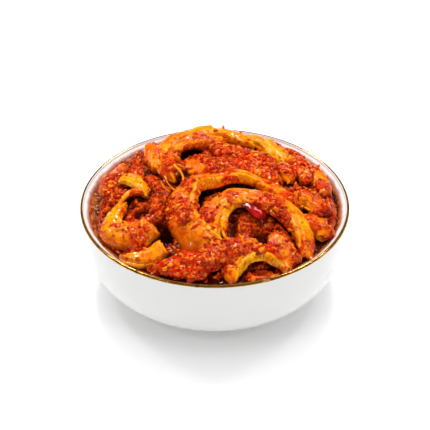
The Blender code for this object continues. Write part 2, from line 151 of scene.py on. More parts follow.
def grains(points: np.ndarray, size: float, seed: int) -> tuple[np.ndarray, np.ndarray]:
    """Packed grains: each cube of a lattice holds one centre at random, and a point belongs to the nearest.

    Args:
        points: places, (..., 3), in metres.
        size: edge of the lattice's cubes, about the distance between grains, in metres.
        seed: picks another field.

    Returns:
        Height of the grain's dome at each point, 1 - (distance / size)^2 cut at 0, and the grain's number.
    """
    scaled = points / size
    low = np.floor(scaled).astype(np.int64)
    nearest = np.full(points.shape[:-1], 9.0)
    number = np.zeros(points.shape[:-1])
    for step in itertools.product((-1, 0, 1), repeat=3):
        place = low + np.array(step)
        centre = place + np.stack([hashed(place, seed + k) for k in (1, 2, 3)], axis=-1)
        distance = np.linalg.norm(scaled - centre, axis=-1)
        closer = distance < nearest
        nearest = np.where(closer, distance, nearest)
        number = np.where(closer, hashed(place, seed + 4), number)
    return np.clip(1 - nearest**2, 0, 1), number


def unit(vectors: np.ndarray) -> np.ndarray:
    """The same directions at length 1."""
    return vectors / np.maximum(np.linalg.norm(vectors, axis=-1, keepdims=True), 1e-12)


@dataclass(frozen=True)
class Wave:
    """Layered noise used as a measure: its height, the size of its features and its layers."""

    height: float
    size: float
    layers: int = 1

    def at(self, points: np.ndarray, seed: int) -> np.ndarray:
        """The height at each point."""
        return self.height * layered_noise(points, self.size, self.layers, seed)


def ramp(value: np.ndarray, low: float, high: float) -> np.ndarray:
    """0 below low, 1 above high, and 3t^2 - 2t^3 between them.

    Args:
        value: any array.
        low: where the rise starts.
        high: where it ends.

    Returns:
        The eased share at each value.
    """
    share = np.clip((value - low) / (high - low), 0, 1)
    return share * share * (3 - 2 * share)


# ---------------------------------------------------------------- meshes


@dataclass
class Skin:
    """A surface as arrays: its points, its faces and the numbers that its material reads at each point."""

    points: np.ndarray
    faces: list
    paint: dict = field(default_factory=dict)

    def centres(self) -> tuple[np.ndarray, np.ndarray, np.ndarray]:
        """Middle, unit normal and area of every four-sided face.

        Returns:
            Arrays (n, 3), (n, 3) and (n,).
        """
        quads = self.faces[0]
        corner = self.points[quads]
        cross = np.cross(corner[:, 2] - corner[:, 0], corner[:, 3] - corner[:, 1])
        length = np.linalg.norm(cross, axis=1)
        return corner.mean(1), cross / np.maximum(length, 1e-12)[:, None], length / 2


def grid_quads(rows: int, columns: int, closed: bool) -> np.ndarray:
    """Faces of a grid of points counted row by row.

    Args:
        rows: number of rows.
        columns: points in a row.
        closed: whether a row's last point joins its first.

    Returns:
        Four point numbers for each face.
    """
    i, j = np.meshgrid(np.arange(rows - 1), np.arange(columns if closed else columns - 1), indexing="ij")
    following = (j + 1) % columns
    quads = [i * columns + j, i * columns + following, (i + 1) * columns + following, (i + 1) * columns + j]
    return np.stack(quads, axis=-1).reshape(-1, 4)


def closed_tube(grid: np.ndarray, first: np.ndarray, last: np.ndarray) -> tuple[np.ndarray, list]:
    """Closes a grid of rings with a point at each end.

    Args:
        grid: points, (rows, columns, 3), whose rings run counter-clockwise seen from the last end.
        first: the point before the first ring.
        last: the point after the last ring.

    Returns:
        The points and the list of face arrays, with the quads first.
    """
    rows, columns = grid.shape[:2]
    points = np.concatenate([grid.reshape(-1, 3), [first], [last]])
    ring = np.arange(columns)
    following = (ring + 1) % columns
    start = (rows - 1) * columns
    head = np.stack([following, ring, np.full(columns, rows * columns)], axis=-1)
    tail = np.stack([start + ring, start + following, np.full(columns, rows * columns + 1)], axis=-1)
    return points, [grid_quads(rows, columns, True), head, tail]


def outward(points: np.ndarray, faces: list) -> list:
    """Turns all faces round if the closed surface's volume, a sum over its faces, comes out negative.

    Args:
        points: the surface's points.
        faces: its face arrays.

    Returns:
        The face arrays, facing outwards.
    """
    volume = 0.0
    for block in faces:
        corner = points[block] - points.mean(0)
        for k in range(1, block.shape[1] - 1):
            volume += np.einsum("ij,ij->i", corner[:, 0], np.cross(corner[:, k], corner[:, k + 1])).sum()
    return [block[:, ::-1] for block in faces] if volume < 0 else faces


def make_piece(name: str, skin: Skin, finishes: list, pick: np.ndarray | None = None) -> bpy.types.Object:
    """Makes an object from a skin, smooth-shaded, with its place in its mesh.

    Args:
        name: the piece's name.
        skin: its surface.
        finishes: its materials.
        pick: which material each face takes, or None for the first.

    Returns:
        The object, riding on the bowl's body.
    """
    corners = np.concatenate([block.ravel() for block in skin.faces]).astype(np.int32)
    sizes = np.concatenate([np.full(len(block), block.shape[1]) for block in skin.faces]).astype(np.int32)
    starts = np.concatenate([[0], np.cumsum(sizes)[:-1]]).astype(np.int32)
    mesh = bpy.data.meshes.new(name)
    mesh.vertices.add(len(skin.points))
    mesh.vertices.foreach_set("co", skin.points.astype(np.float32).ravel())
    mesh.loops.add(len(corners))
    mesh.loops.foreach_set("vertex_index", corners)
    mesh.polygons.add(len(sizes))
    mesh.polygons.foreach_set("loop_start", starts)
    mesh.update(calc_edges=True)
    mesh.shade_smooth()
    for material in finishes:
        mesh.materials.append(material)
    if pick is not None:
        mesh.polygons.foreach_set("material_index", pick.astype(np.int32))
    for key, value in skin.paint.items():
        attribute = mesh.attributes.new(key, "FLOAT", "POINT")
        attribute.data.foreach_set("value", value.astype(np.float32).ravel())
    mesh.validate()
    piece = bpy.data.objects.new(name, mesh)
    bpy.context.scene.collection.objects.link(piece)
    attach(piece, BODY)
    log.info("%s: %d points, %d faces", name, len(skin.points), len(sizes))
    return piece


# ---------------------------------------------------------------- finishes


def linear(code: str) -> tuple[float, float, float, float]:
    """Turns an sRGB hex colour to linear light.

    Args:
        code: six hex digits after a #.

    Returns:
        Red, green, blue and 1 for alpha.
    """
    parts = [int(code[i : i + 2], 16) / 255 for i in (1, 3, 5)]
    return (*(c / 12.92 if c <= 0.04045 else ((c + 0.055) / 1.055) ** 2.4 for c in parts), 1.0)


class Tree:
    """A material's nodes under construction."""

    def __init__(self, name: str) -> None:
        """Starts a material that holds one Principled shader."""
        self.material = bpy.data.materials.new(name)
        self.material.use_nodes = True
        self.nodes = self.material.node_tree.nodes
        self.links = self.material.node_tree.links
        self.shader = self.nodes["Principled BSDF"]

    def add(self, kind: str, settings: dict | None = None, **inputs: object) -> bpy.types.Node:
        """Adds a node with its settings and its inputs, which are values or the sockets to link.

        Args:
            kind: the node's type.
            settings: properties of the node.
            **inputs: input sockets by name, with _ for a space, or by number as i0, i1 and so on.

        Returns:
            The node.
        """
        node = self.nodes.new(kind)
        for key, value in (settings or {}).items():
            setattr(node, key, value)
        for key, value in inputs.items():
            numbered = key[0] == "i" and key[1:].isdigit()
            self.feed(node, int(key[1:]) if numbered else key.replace("_", " "), value)
        return node

    def feed(self, node: bpy.types.Node, key: str | int, value: object) -> None:
        """Links a socket to an input, or sets the input's value."""
        if isinstance(value, Socket):
            self.links.new(value, node.inputs[key])
        else:
            node.inputs[key].default_value = value

    def place(self) -> Socket:
        """The object's own coordinates."""
        return self.add("ShaderNodeTexCoord").outputs["Object"]

    def paint(self, name: str, share: float = 1.0) -> Socket:
        """A number that the mesh keeps at each point, times a share."""
        kept = self.add("ShaderNodeAttribute", {"attribute_name": name}).outputs["Fac"]
        return kept if share == 1.0 else self.math("MULTIPLY", kept, share)

    def noise(self, size: float, detail: float = 2.0, distortion: float = 0.0) -> Socket:
        """Noise with features of a size given in metres."""
        looks = {"Scale": 1 / size, "Detail": detail, "Distortion": distortion}
        return self.add("ShaderNodeTexNoise", Vector=self.place(), **looks).outputs["Fac"]

    def math(self, operation: str, first: object, second: object = 0.0) -> Socket:
        """One sum of two numbers."""
        return self.add("ShaderNodeMath", {"operation": operation}, i0=first, i1=second).outputs[0]

    def band(self, value: object, low: float, high: float) -> Socket:
        """0 below low, 1 above high, smooth between; high below low turns it round."""
        start, end = (0.0, 1.0) if low < high else (1.0, 0.0)
        edges = {"From_Min": min(low, high), "From_Max": max(low, high), "To_Min": start, "To_Max": end}
        smooth = {"interpolation_type": "SMOOTHSTEP"}
        return self.add("ShaderNodeMapRange", smooth, Value=value, **edges).outputs[0]

    def blotches(self, kind: "Blotches") -> Socket:
        """Where noise rises between the blotches' limits, times their share."""
        shown = self.band(self.noise(kind.size, kind.detail, kind.distortion), kind.low, kind.high)
        return shown if kind.share == 1.0 else self.math("MULTIPLY", shown, kind.share)

    def graded(self, value: object, first: object, steps: tuple) -> Socket:
        """Passes from a first colour to the next ones, each step being its two limits and its colour."""
        for low, high, following in steps:
            first = self.mix(self.band(value, low, high), first, following)
        return first

    def mix(self, share: object, first: object, second: object) -> Socket:
        """Mixes two colours, each a hex code or a socket."""
        made = self.add("ShaderNodeMix", {"data_type": "RGBA"}, i0=share)
        for number, colour in ((6, first), (7, second)):
            self.feed(made, number, linear(colour) if isinstance(colour, str) else colour)
        return made.outputs[2]

    def scale(self, value: object, low: float, high: float) -> Socket:
        """Maps 0..1 to low..high."""
        return self.add("ShaderNodeMapRange", Value=value, To_Min=low, To_Max=high).outputs[0]

    def bump(self, height: object, depth: float, under: object = None) -> Socket:
        """A bump of the given depth in metres, on top of another."""
        below = {} if under is None else {"Normal": under}
        return self.add("ShaderNodeBump", Height=height, Distance=depth, Strength=1.0, **below).outputs[0]

    def surface(self, **inputs: object) -> bpy.types.Material:
        """Feeds the shader's sockets and returns the material."""
        for key, value in inputs.items():
            self.feed(self.shader, key.replace("_", " "), value)
        return self.material


@dataclass(frozen=True)
class Blotches:
    """Patches of noise: size and detail, the limits a patch rises between, its full share, its distortion."""

    size: float
    detail: float
    low: float
    high: float
    share: float = 1.0
    distortion: float = 0.0


@dataclass(frozen=True)
class GlazedPorcelain:
    """White glazed porcelain: dipped and fired, so smooth and mirror-glossy over a white body."""

    white: str = "#F0F0EF"
    stain: str = "#B5622A"
    stain_share: float = 0.85
    stain_height: float = 0.9 * MM
    stain_wave: float = 5 * MM
    wave_share: float = 2.2
    below_oil: float = 0.2 * MM
    soft_edge: float = 0.4 * MM
    stain_foot: Pair = (6 * MM, 4 * MM)
    inside_edge: Pair = (1.4 * MM, 1.9 * MM)
    roughness: float = 0.09

    def make(self, sizes: Measures) -> bpy.types.Material:
        """Makes the glaze, with the thin stain that the oil leaves above its edge.

        Args:
            sizes: the bowl's measures.

        Returns:
            The material.
        """
        tree = Tree("glazed_porcelain")
        split = tree.add("ShaderNodeSeparateXYZ", Vector=tree.place())
        squares = [tree.math("POWER", split.outputs[axis], 2.0) for axis in (0, 1)]
        radius = tree.math("SQRT", tree.math("ADD", *squares))
        inside = tree.band(radius, *(sizes.rim_radius - gap for gap in self.inside_edge))
        wave = tree.math("MULTIPLY", tree.noise(self.stain_wave, 3.0), self.wave_share * self.stain_height)
        above = tree.math("SUBTRACT", split.outputs[2], wave)
        low = sizes.oil_level - self.below_oil
        share = tree.math("MULTIPLY", inside, tree.band(above, low + self.stain_height, low - self.soft_edge))
        foot = tree.band(split.outputs[2], *(low - drop for drop in self.stain_foot))
        share = tree.math("MULTIPLY", share, foot)
        colour = tree.mix(tree.math("MULTIPLY", share, self.stain_share), self.white, self.stain)
        return tree.surface(Base_Color=colour, Roughness=self.roughness, IOR=1.5)


@dataclass(frozen=True)
class GiltLine:
    """Fired-on liquid gold: a thin metal film, a little worn and brushed on by hand."""

    gold: str = "#D69A3C"
    worn: str = "#7E5020"
    wear: Blotches = Blotches(3 * MM, 3.0, 0.45, 0.75)
    brushing: float = 3 * MM
    roughness: Pair = (0.09, 0.16)
    metal: float = 0.82

    def make(self) -> bpy.types.Material:
        """Makes the gilding."""
        tree = Tree("gilt_line")
        colour = tree.mix(tree.blotches(self.wear), self.gold, self.worn)
        rough = tree.scale(tree.noise(self.brushing), *self.roughness)
        return tree.surface(Base_Color=colour, Metallic=self.metal, Roughness=rough)


@dataclass(frozen=True)
class FruitFlesh:
    """Pickled sepal of elephant apple: soft fibrous flesh, glossy with oil, with red masala caught on it."""

    orange: str = "#F86A02"
    yellow: str = "#FFAE08"
    amber: str = "#C85202"
    ruddy: str = "#E44402"
    deep: str = "#A82C02"
    wash: str = "#D22A02"
    pale: str = "#FFC03C"
    # painted shade: the near-black red laid where the mesh's deep marks undersides, pits and gaps between
    # clots
    hollow: str = "#2E0501"
    speck: str = "#3A1004"
    amber_share: float = 0.85
    streak_share: float = 0.6
    fibre_share: float = 0.45
    blush: Blotches = Blotches(5.0 * MM, 3.0, 0.48, 0.7, 0.4)
    mottle: Blotches = Blotches(1.5 * MM, 1.0, 0.52, 0.66, 0.3)
    washing: Blotches = Blotches(3.0 * MM, 3.0, 1.08, 1.9, 0.66)
    washing_height: float = 2.4
    film: Blotches = Blotches(1.6 * MM, 3.0, 1.9, 2.25, 0.92, 0.6)
    film_height: float = 3.2
    clot_size: float = 1.9 * MM
    dark_red: str = "#780B02"
    masala: tuple = ((0.34, 0.44, "#C21802"), (0.46, 0.55, "#E83A06"), (0.58, 0.66, "#F4801E"))
    speck_gap: float = 2.1 * MM
    speck_choice: Pair = (0.62, 0.66)
    speck_edge: Pair = (0.15, 0.08)
    speck_share: float = 0.75
    pore_size: float = 2.2 * MM
    pore_depth: float = 0.4 * MM
    clot_depth: float = 0.45 * MM
    bare_relief: float = 0.1
    roughness: Pair = (0.10, 0.05)

    def caught(self, tree: Tree, kind: Blotches, height: float) -> Socket:
        """Where masala holds: the mesh's coat plus noise of a height, between the blotches' limits."""
        ragged = tree.math("MULTIPLY", tree.noise(kind.size, kind.detail, kind.distortion), height)
        return tree.band(tree.math("ADD", tree.paint("coat"), ragged), kind.low, kind.high)

    def make(self) -> bpy.types.Material:
        """Makes the flesh, whose coat, gold, amber, streak, fibre and deep the mesh keeps at each point; deep
        is painted shade, and streak is partly painted shade in creases.
        """
        tree = Tree("fruit_flesh")
        colour = tree.mix(tree.paint("gold"), self.orange, self.yellow)
        film = self.caught(tree, self.film, self.film_height)
        washed = self.caught(tree, self.washing, self.washing_height)
        masala = tree.graded(tree.noise(self.clot_size, 2.0, 0.4), self.dark_red, self.masala)
        cells = tree.add("ShaderNodeTexVoronoi", Vector=tree.place(), Scale=1 / self.speck_gap)
        number = tree.add("ShaderNodeSeparateColor", Color=cells.outputs["Color"]).outputs[0]
        spot = tree.math(
            "MULTIPLY",
            tree.band(cells.outputs["Distance"], *self.speck_edge),
            tree.band(number, *self.speck_choice),
        )
        for share, over in (
            (tree.paint("amber", self.amber_share), self.amber),
            (tree.blotches(self.blush), self.ruddy),
            (tree.blotches(self.mottle), self.deep),
            # streaks of deeper flesh, laid in the furrows, the lip's groove and the cracks, so they are also
            # painted shade there
            (tree.paint("streak", self.streak_share), self.deep),
            (tree.paint("fibre", self.fibre_share), self.pale),
            (tree.math("MULTIPLY", washed, self.washing.share), self.wash),
            (tree.math("MULTIPLY", film, self.film.share), masala),
            (tree.math("MULTIPLY", spot, self.speck_share), self.speck),
            # painted shade on undersides, in pits and between clots
            (tree.paint("deep"), self.hollow),
        ):
            colour = tree.mix(share, colour, over)
        pores = tree.bump(tree.noise(self.pore_size, 0.0), self.pore_depth)
        grit = tree.noise(self.film.size, 1.0)
        clots = tree.math("MULTIPLY", tree.math("MAXIMUM", film, self.bare_relief), grit)
        return tree.surface(
            Base_Color=colour,
            Roughness=tree.scale(film, *self.roughness),
            Normal=tree.bump(clots, self.clot_depth, pores),
            Specular_IOR_Level=0.5,
        )


@dataclass(frozen=True)
class MasalaPaste:
    """Ground chilli and mustard paste in oil: coarse grit held in a wet dark-red film."""

    bright: str = "#E24E06"
    # painted shade colour for the pits and the gaps between clots
    dark: str = "#360702"
    brown: str = "#620C02"
    grit: float = 1.7 * MM
    tones: tuple = ((0.36, 0.48, "#AE1C04"), (0.48, 0.58, "#E24E06"), (0.60, 0.67, "#F48A26"))
    stain: Blotches = Blotches(4.0 * MM, 3.0, 0.5, 0.66, 0.75)
    # painted light: share of the brighter colour on the clots' raised tops
    coat_share: float = 0.5
    wet_size: float = 3 * MM
    roughness: Pair = (0.03, 0.08)
    bump_size: float = 2.2 * MM
    bump_depth: float = 0.4 * MM

    def make(self) -> bpy.types.Material:
        """Makes the paste, whose coat and deep the mesh keeps at each point: coat is painted light on the
        clots' tops with each grain's tint, and deep is painted shade.
        """
        tree = Tree("masala_paste")
        colour = tree.graded(tree.noise(self.grit, 2.0, 0.5), self.brown, self.tones)
        colour = tree.mix(tree.blotches(self.stain), colour, self.brown)
        # painted light: brighter paste on the clots' raised tops, varied by each grain's tint
        colour = tree.mix(tree.paint("coat", self.coat_share), colour, self.bright)
        # painted shade in the pits and between clots
        colour = tree.mix(tree.paint("deep"), colour, self.dark)
        return tree.surface(
            Base_Color=colour,
            Roughness=tree.scale(tree.noise(self.wet_size, 1.0), *self.roughness),
            Normal=tree.bump(tree.noise(self.bump_size, 1.0), self.bump_depth),
            Specular_IOR_Level=0.5,
        )


@dataclass(frozen=True)
class SpicedOil:
    """Mustard oil reddened by chilli: clear at its thin edge on the wall, and nearly black where deep."""

    deep: str = "#2A0502"
    thin: str = "#B4561A"
    cloud: str = "#7A2C0A"
    clouding: Blotches = Blotches(2.4 * MM, 3.0, 0.42, 0.62)
    ripple_size: float = 1.8 * MM
    ripple_depth: float = 0.5 * MM

    def make(self) -> bpy.types.Material:
        """Makes the oil, whose thinness the mesh keeps at each point."""
        tree = Tree("spiced_oil")
        film = tree.mix(tree.blotches(self.clouding), self.thin, self.cloud)
        return tree.surface(
            Base_Color=tree.mix(tree.paint("thin"), self.deep, film),
            Roughness=0.06,
            Normal=tree.bump(tree.noise(self.ripple_size), self.ripple_depth),
            IOR=1.47,
            Coat_Weight=0.4,
            Coat_Roughness=0.03,
        )


@dataclass(frozen=True)
class ChilliSkin:
    """Soft red chilli in oil: a smooth waxy skin, dark and translucent like jelly."""

    red: str = "#B00C05"
    dark: str = "#5A0503"
    ripeness: Blotches = Blotches(5 * MM, 2.0, 0.4, 0.62)
    fold_size: float = 2.4 * MM
    fold_depth: float = 0.4 * MM

    def make(self) -> bpy.types.Material:
        """Makes the skin."""
        tree = Tree("chilli_skin")
        return tree.surface(
            Base_Color=tree.mix(tree.blotches(self.ripeness), self.red, self.dark),
            Roughness=0.12,
            Normal=tree.bump(tree.noise(self.fold_size, 1.0), self.fold_depth),
            Coat_Weight=0.4,
            Coat_Roughness=0.04,
        )


@dataclass(frozen=True)
class SpiceGrit:
    """Crushed spice soaked in oil, in three tones from its darkest to its lightest grains."""

    name: str
    dark: str
    middle: str
    light: str
    gloss: float

    def make(self) -> bpy.types.Material:
        """Makes the finish, whose shade the mesh keeps for each grain."""
        tree = Tree(self.name)
        steps = ((0.0, 0.55, self.middle), (0.55, 1.0, self.light))
        colour = tree.graded(tree.paint("shade"), self.dark, steps)
        return tree.surface(Base_Color=colour, Roughness=self.gloss)


@dataclass(frozen=True)
class PaleFloor:
    """A matt white sheet to stand on, lit a little from below, which keeps the shadow pale."""

    white: str = "#FAFAFA"
    glow: float = 0.12

    def make(self) -> bpy.types.Material:
        """Makes the floor's paint."""
        tree = Tree("pale_floor")
        return tree.surface(
            Base_Color=linear(self.white),
            Roughness=0.9,
            Specular_IOR_Level=0.1,
            Emission_Color=linear(self.white),
            Emission_Strength=self.glow,
        )


# ---------------------------------------------------------------- bowl


@dataclass(frozen=True)
class PorcelainBowl:
    """The bowl: a superellipse belly on a foot ring, with a gilt line on its rounded lip."""

    foot_height: float = 2.5 * MM
    base_radius: float = 30.0 * MM
    side_power: float = 2.3
    below_power: float = 3.4
    foot_radius: float = 31.5 * MM
    foot_width: float = 4.0 * MM
    foot_recess: float = 1.8 * MM
    wall: float = 4.3 * MM
    floor: float = 4.0 * MM
    lip_radius: float = 0.85 * MM
    slope_depth: float = 3.6 * MM
    slope_width: float = 2.6 * MM
    gilt_depth: float = 1.0 * MM
    gilt_width: float = 1.5
    foot_blend: float = 1.0 * MM
    slope_power: float = 1.5
    sides: int = 192
    steps: int = 40
    slope_steps: int = 8
    lip_steps: int = 11

    def belly(self, top_radius: float, radius: float, low: float, top: float) -> np.ndarray:
        """Wall from its base to its top: radius by sin^(2/side power), height by 1 - cos^(2/below power)."""
        turn = np.linspace(0, np.pi / 2, self.steps)
        outwards = radius + (top_radius - radius) * np.sin(turn) ** (2 / self.side_power)
        upwards = low + (top - low) * (1 - np.cos(turn) ** (2 / self.below_power))
        return np.stack([outwards, upwards], axis=-1)

    def inner(self, sizes: Measures) -> np.ndarray:
        """The inside from the floor's edge to the lip.

        Args:
            sizes: the bowl's measures.

        Returns:
            (radius, height) pairs.
        """
        top = sizes.rim_height - self.slope_depth
        neck = sizes.rim_radius - 2 * self.lip_radius - self.slope_width
        low = self.foot_height + self.floor
        wall = self.belly(neck, self.base_radius - self.wall, low, top)
        share = np.linspace(0, 1, self.slope_steps + 1)[1:]
        outwards = neck + self.slope_width * share**self.slope_power
        upwards = top + (self.slope_depth - self.lip_radius) * share
        return np.concatenate([wall, np.stack([outwards, upwards], axis=-1)])

    def inner_radius(self, sizes: Measures, height: float) -> float:
        """Radius of the inside at a height."""
        wall = self.inner(sizes)
        return float(np.interp(height, wall[:, 1], wall[:, 0]))

    def profile(self, sizes: Measures) -> np.ndarray:
        """The whole section, from below the middle round the foot, the outside, the lip and the inside."""
        under = self.foot_height - self.foot_recess + 0.6 * MM
        hollow, rim = self.foot_radius - self.foot_width, self.foot_radius
        foot = np.array(
            [
                (hollow - 0.8 * MM, under),
                (hollow - 0.3 * MM, under * 0.6),
                (hollow + 0.2 * MM, 0.0),
                (rim - 0.6 * MM, 0.0),
                (rim - 0.2 * MM, 0.2 * MM),
                (rim, 0.7 * MM),
                (rim + 0.1 * MM, self.foot_height * 0.6),
                (rim + 0.4 * MM, self.foot_height + 0.1 * MM),
            ]
        )
        lip_top = sizes.rim_height - self.lip_radius
        outside = self.belly(sizes.rim_radius, self.base_radius, self.foot_height, lip_top)
        outside = outside[outside[:, 0] > rim + self.foot_blend]
        turn = np.linspace(0, np.pi, self.lip_steps + 2)[1:-1]
        lip = np.array([sizes.rim_radius - self.lip_radius, lip_top])
        lip = lip + self.lip_radius * np.stack([np.cos(turn), np.sin(turn)], axis=-1)
        return np.concatenate([foot, outside, lip, self.inner(sizes)[::-1]])

    def build(self, sizes: Measures) -> bpy.types.Object:
        """Turns the section about the axis and gilds the lip.

        Args:
            sizes: the bowl's measures.

        Returns:
            The piece.
        """
        section = self.profile(sizes)
        turn = np.linspace(0, 2 * np.pi, self.sides, endpoint=False)
        radius = section[:, :1]
        height = np.broadcast_to(section[:, 1:], (len(section), self.sides))
        grid = np.stack([radius * np.cos(turn), radius * np.sin(turn), height], axis=-1)
        points, faces = closed_tube(grid, (0, 0, section[0, 1]), (0, 0, section[-1, 1]))
        faces = outward(points, faces)
        middle = points[faces[0]].mean(1)
        on_lip = middle[:, 2] > sizes.rim_height - self.gilt_depth
        outside = np.hypot(middle[:, 0], middle[:, 1]) > sizes.rim_radius - self.gilt_width * self.lip_radius
        pick = np.concatenate([(on_lip & outside).astype(int), np.zeros(2 * self.sides)])
        finishes = [GlazedPorcelain().make(sizes), GiltLine().make()]
        piece = make_piece("porcelain_bowl", Skin(points, faces), finishes, pick)
        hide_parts("bowl")
        return piece


# ---------------------------------------------------------------- filling's ground shape


@dataclass(frozen=True)
class Spot:
    """An oval place in plan: its middle and half sizes in millimetres and its turn in degrees."""

    x: float
    y: float
    across: float
    along: float
    turn: float

    def distance(self, x: np.ndarray, y: np.ndarray) -> np.ndarray:
        """Squared distance from the middle, as a share of the half sizes along the oval's own axes."""
        turn = math.radians(self.turn)
        dx, dy = x / MM - self.x, y / MM - self.y
        across = (dx * math.cos(turn) + dy * math.sin(turn)) / self.across
        along = (dy * math.cos(turn) - dx * math.sin(turn)) / self.along
        return across**2 + along**2


@dataclass(frozen=True)
class Pit(Spot):
    """A hollow between the slices, where the paste lies deep and is darkened by painted shade."""

    depth: float


@dataclass(frozen=True)
class Smear(Spot):
    """A place where masala lies thick, or bares the fruit if its coat is negative; gold yellows the flesh."""

    coat: float
    gold: float


PITS = (
    Pit(-25, -28.5, 7.5, 5.6, 86, 8.0),
    Pit(6, 3.5, 15, 6, 6, 8.0),
    Pit(-8.5, -13, 3.6, 10, 6, 7.5),
    Pit(-11, 35, 10, 5, 50, 6.5),
    Pit(8, -27, 8, 2.6, 76, 3.4),
    Pit(22, -32, 5, 3.6, 143, 6.0),
    Pit(2, -30, 7, 2.4, 104, 5.5),
    Pit(1, -37, 4, 3, 0, 5.0),
    Pit(-1, -57, 3.6, 2.6, 77, 3.5),
    Pit(-21, -44, 4.5, 2.6, 49, 4.5),
    Pit(-34, -14, 4.2, 3.2, 65, 5.5),
    Pit(-40, -1, 5.5, 2.4, 60, 5.0),
    Pit(46, -31, 4.5, 3.2, 48, 3.2),
    Pit(21, -50, 5.5, 3.8, 10, 2.0),
    Pit(44, -11, 3.6, 2.8, 92, 5.0),
    Pit(29, 14, 3.8, 2.6, 135, 5.5),
    Pit(-15.5, 8, 3.2, 6, 8, 5.5),
    Pit(-32, 30, 3.0, 4.5, 0, 4.5),
)

SMEARS = (
    Smear(-37, 6, 11, 5, -48, -0.5, 0.7),
    Smear(-48, -17, 4, 10, 0, -0.4, 0.5),
    Smear(-41, -28, 6, 4, 0, -0.1, 0.3),
    Smear(-17, -6, 4, 6, 0, -0.5, 0.5),
    Smear(-16, -34, 12, 5, -45, -0.7, -0.4),
    Smear(-2, 6, 7, 4, 0, -0.4, 0.5),
    Smear(15, 4, 7, 4, -20, -0.3, 0.3),
    Smear(-5, -34, 8, 2.5, -50, -0.2, 0.2),
    Smear(-3, -27, 4, 7, -20, 0.5, -0.2),
    Smear(-9, -38, 6, 3, -40, 0.35, -0.2),
    Smear(0, -14, 5, 7, 0, -0.2, 0.1),
    Smear(12, -7, 13, 4, 0, -0.4, 0.2),
    Smear(39, -24, 4, 10, 15, -0.5, 0.7),
    Smear(31, -38, 4, 7, 30, -0.1, 0.2),
    Smear(20, -49.5, 11, 2.6, 0, -0.6, 0.9),
    Smear(18, -40.5, 13, 3.4, 0, 0.8, -0.3),
    Smear(13, -53, 4, 5, 0, -0.4, 0.5),
    Smear(-31, -42, 9, 4, 0, -0.3, 0.3),
    Smear(27, 33, 12, 6, -45, -0.7, 0.9),
    Smear(-3, 48, 16, 5, 0, -0.4, 0.4),
    Smear(8, 40, 8, 4, -20, -0.4, 0.5),
    Smear(-21, 34, 5, 11, -10, -0.2, 0.2),
    Smear(-33, 28, 4, 8, 0, -0.5, -0.2),
    Smear(47, -8, 6, 6, 0, -0.4, 0.0),
    Smear(46, -20, 5, 4, 0, -0.1, 0.2),
    Smear(-9, 15, 7, 5, 0, -0.8, -0.1),
    Smear(-14, -23, 3.6, 6.5, 0, 1.0, 0.0),
    Smear(3, 8, 5, 5, 0, 1.3, -0.4),
    Smear(-28, -14, 9, 8, 0, 0.9, 0.0),
    Smear(23, -14, 8, 6, -45, 0.9, -0.2),
    Smear(31, -24, 5, 7, 20, 0.6, 0.0),
    Smear(-30, -31, 8, 4, 20, 0.5, 0.0),
    Smear(-5, -49, 17, 6, 10, 0.9, -0.2),
    Smear(10, 27, 20, 10, 0, 0.8, -0.2),
    Smear(-23, 16, 5, 12, 0, 0.3, -0.1),
    Smear(-48, 8, 6, 7, 0, 0.6, 0.0),
    Smear(39, 18, 9, 9, 0, 0.4, 0.0),
    Smear(42, -1, 6, 5, 0, 0.9, 0.0),
    Smear(53, -14, 5, 6, 0, 0.7, 0.0),
)


def smeared(x: np.ndarray, y: np.ndarray) -> tuple[np.ndarray, np.ndarray]:
    """What the smears add up to: each gives its coat and its gold times exp(-distance squared).

    Args:
        x: places across.
        y: places in depth.

    Returns:
        The coat and the gold.
    """
    coat, gold = np.zeros_like(x), np.zeros_like(x)
    for smear in SMEARS:
        share = np.exp(-smear.distance(x, y))
        coat += smear.coat * share
        gold += smear.gold * share
    return coat, gold


@dataclass(frozen=True)
class HeapGround:
    """The low dome that the slices lie on, and the edge where the paste meets the oil."""

    centre_y: float = 10.0 * MM
    radius: float = 62.0 * MM
    rise: float = 9.5 * MM
    freeboard: float = 0.6 * MM
    edge: float = 3.0 * MM
    oil_width: float = 1.6
    least_oil: float = 1.0
    waves: tuple = ((0.5, 3, 0.6), (0.4, 7, 0.0))
    coves: tuple = ((146, 12, 4.5), (182, 20, 3.4), (228, 9, 2.6), (326, 12, 3.6))

    def height(self, sizes: Measures, x: np.ndarray, y: np.ndarray) -> np.ndarray:
        """Height of the dome: the oil's level and freeboard plus rise times 1 - (distance / radius)^2.

        Args:
            sizes: the bowl's measures.
            x: places across.
            y: places in depth.

        Returns:
            The heights.
        """
        share = np.hypot(x, y - self.centre_y) / self.radius
        return sizes.oil_level + self.freeboard + self.rise * np.clip(1 - share**2, 0, None)

    def outline(self, wall: float, angle: np.ndarray) -> np.ndarray:
        """Radius of the paste's edge: the wall's radius less the oil's width in millimetres.

        The width is a sum of sine waves round the bowl, each with its height, count and shift, and of coves,
        each with its middle and half width in degrees and its extra width, which falls off as
        exp(-distance squared).

        Args:
            wall: the bowl's inner radius at the oil's level.
            angle: turns round the bowl.

        Returns:
            The radius at each turn.
        """
        degrees = np.degrees(angle) % 360
        oil = self.oil_width
        for height, count, shift in self.waves:
            oil = oil + height * np.sin(count * angle + shift)
        for middle, half, extra in self.coves:
            oil = oil + extra * np.exp(-(((degrees - middle) / half) ** 2))
        return wall - np.clip(oil, self.least_oil, None) * MM


def pit_depth(x: np.ndarray, y: np.ndarray) -> np.ndarray:
    """Depth of the hollows: each is its depth times exp(-r^4), r being the distance in its half sizes.

    Args:
        x: places across.
        y: places in depth.

    Returns:
        The depths, in metres.
    """
    depth = np.zeros_like(x)
    for pit in PITS:
        depth = np.maximum(depth, pit.depth * MM * np.exp(-(pit.distance(x, y) ** 2)))
    return depth


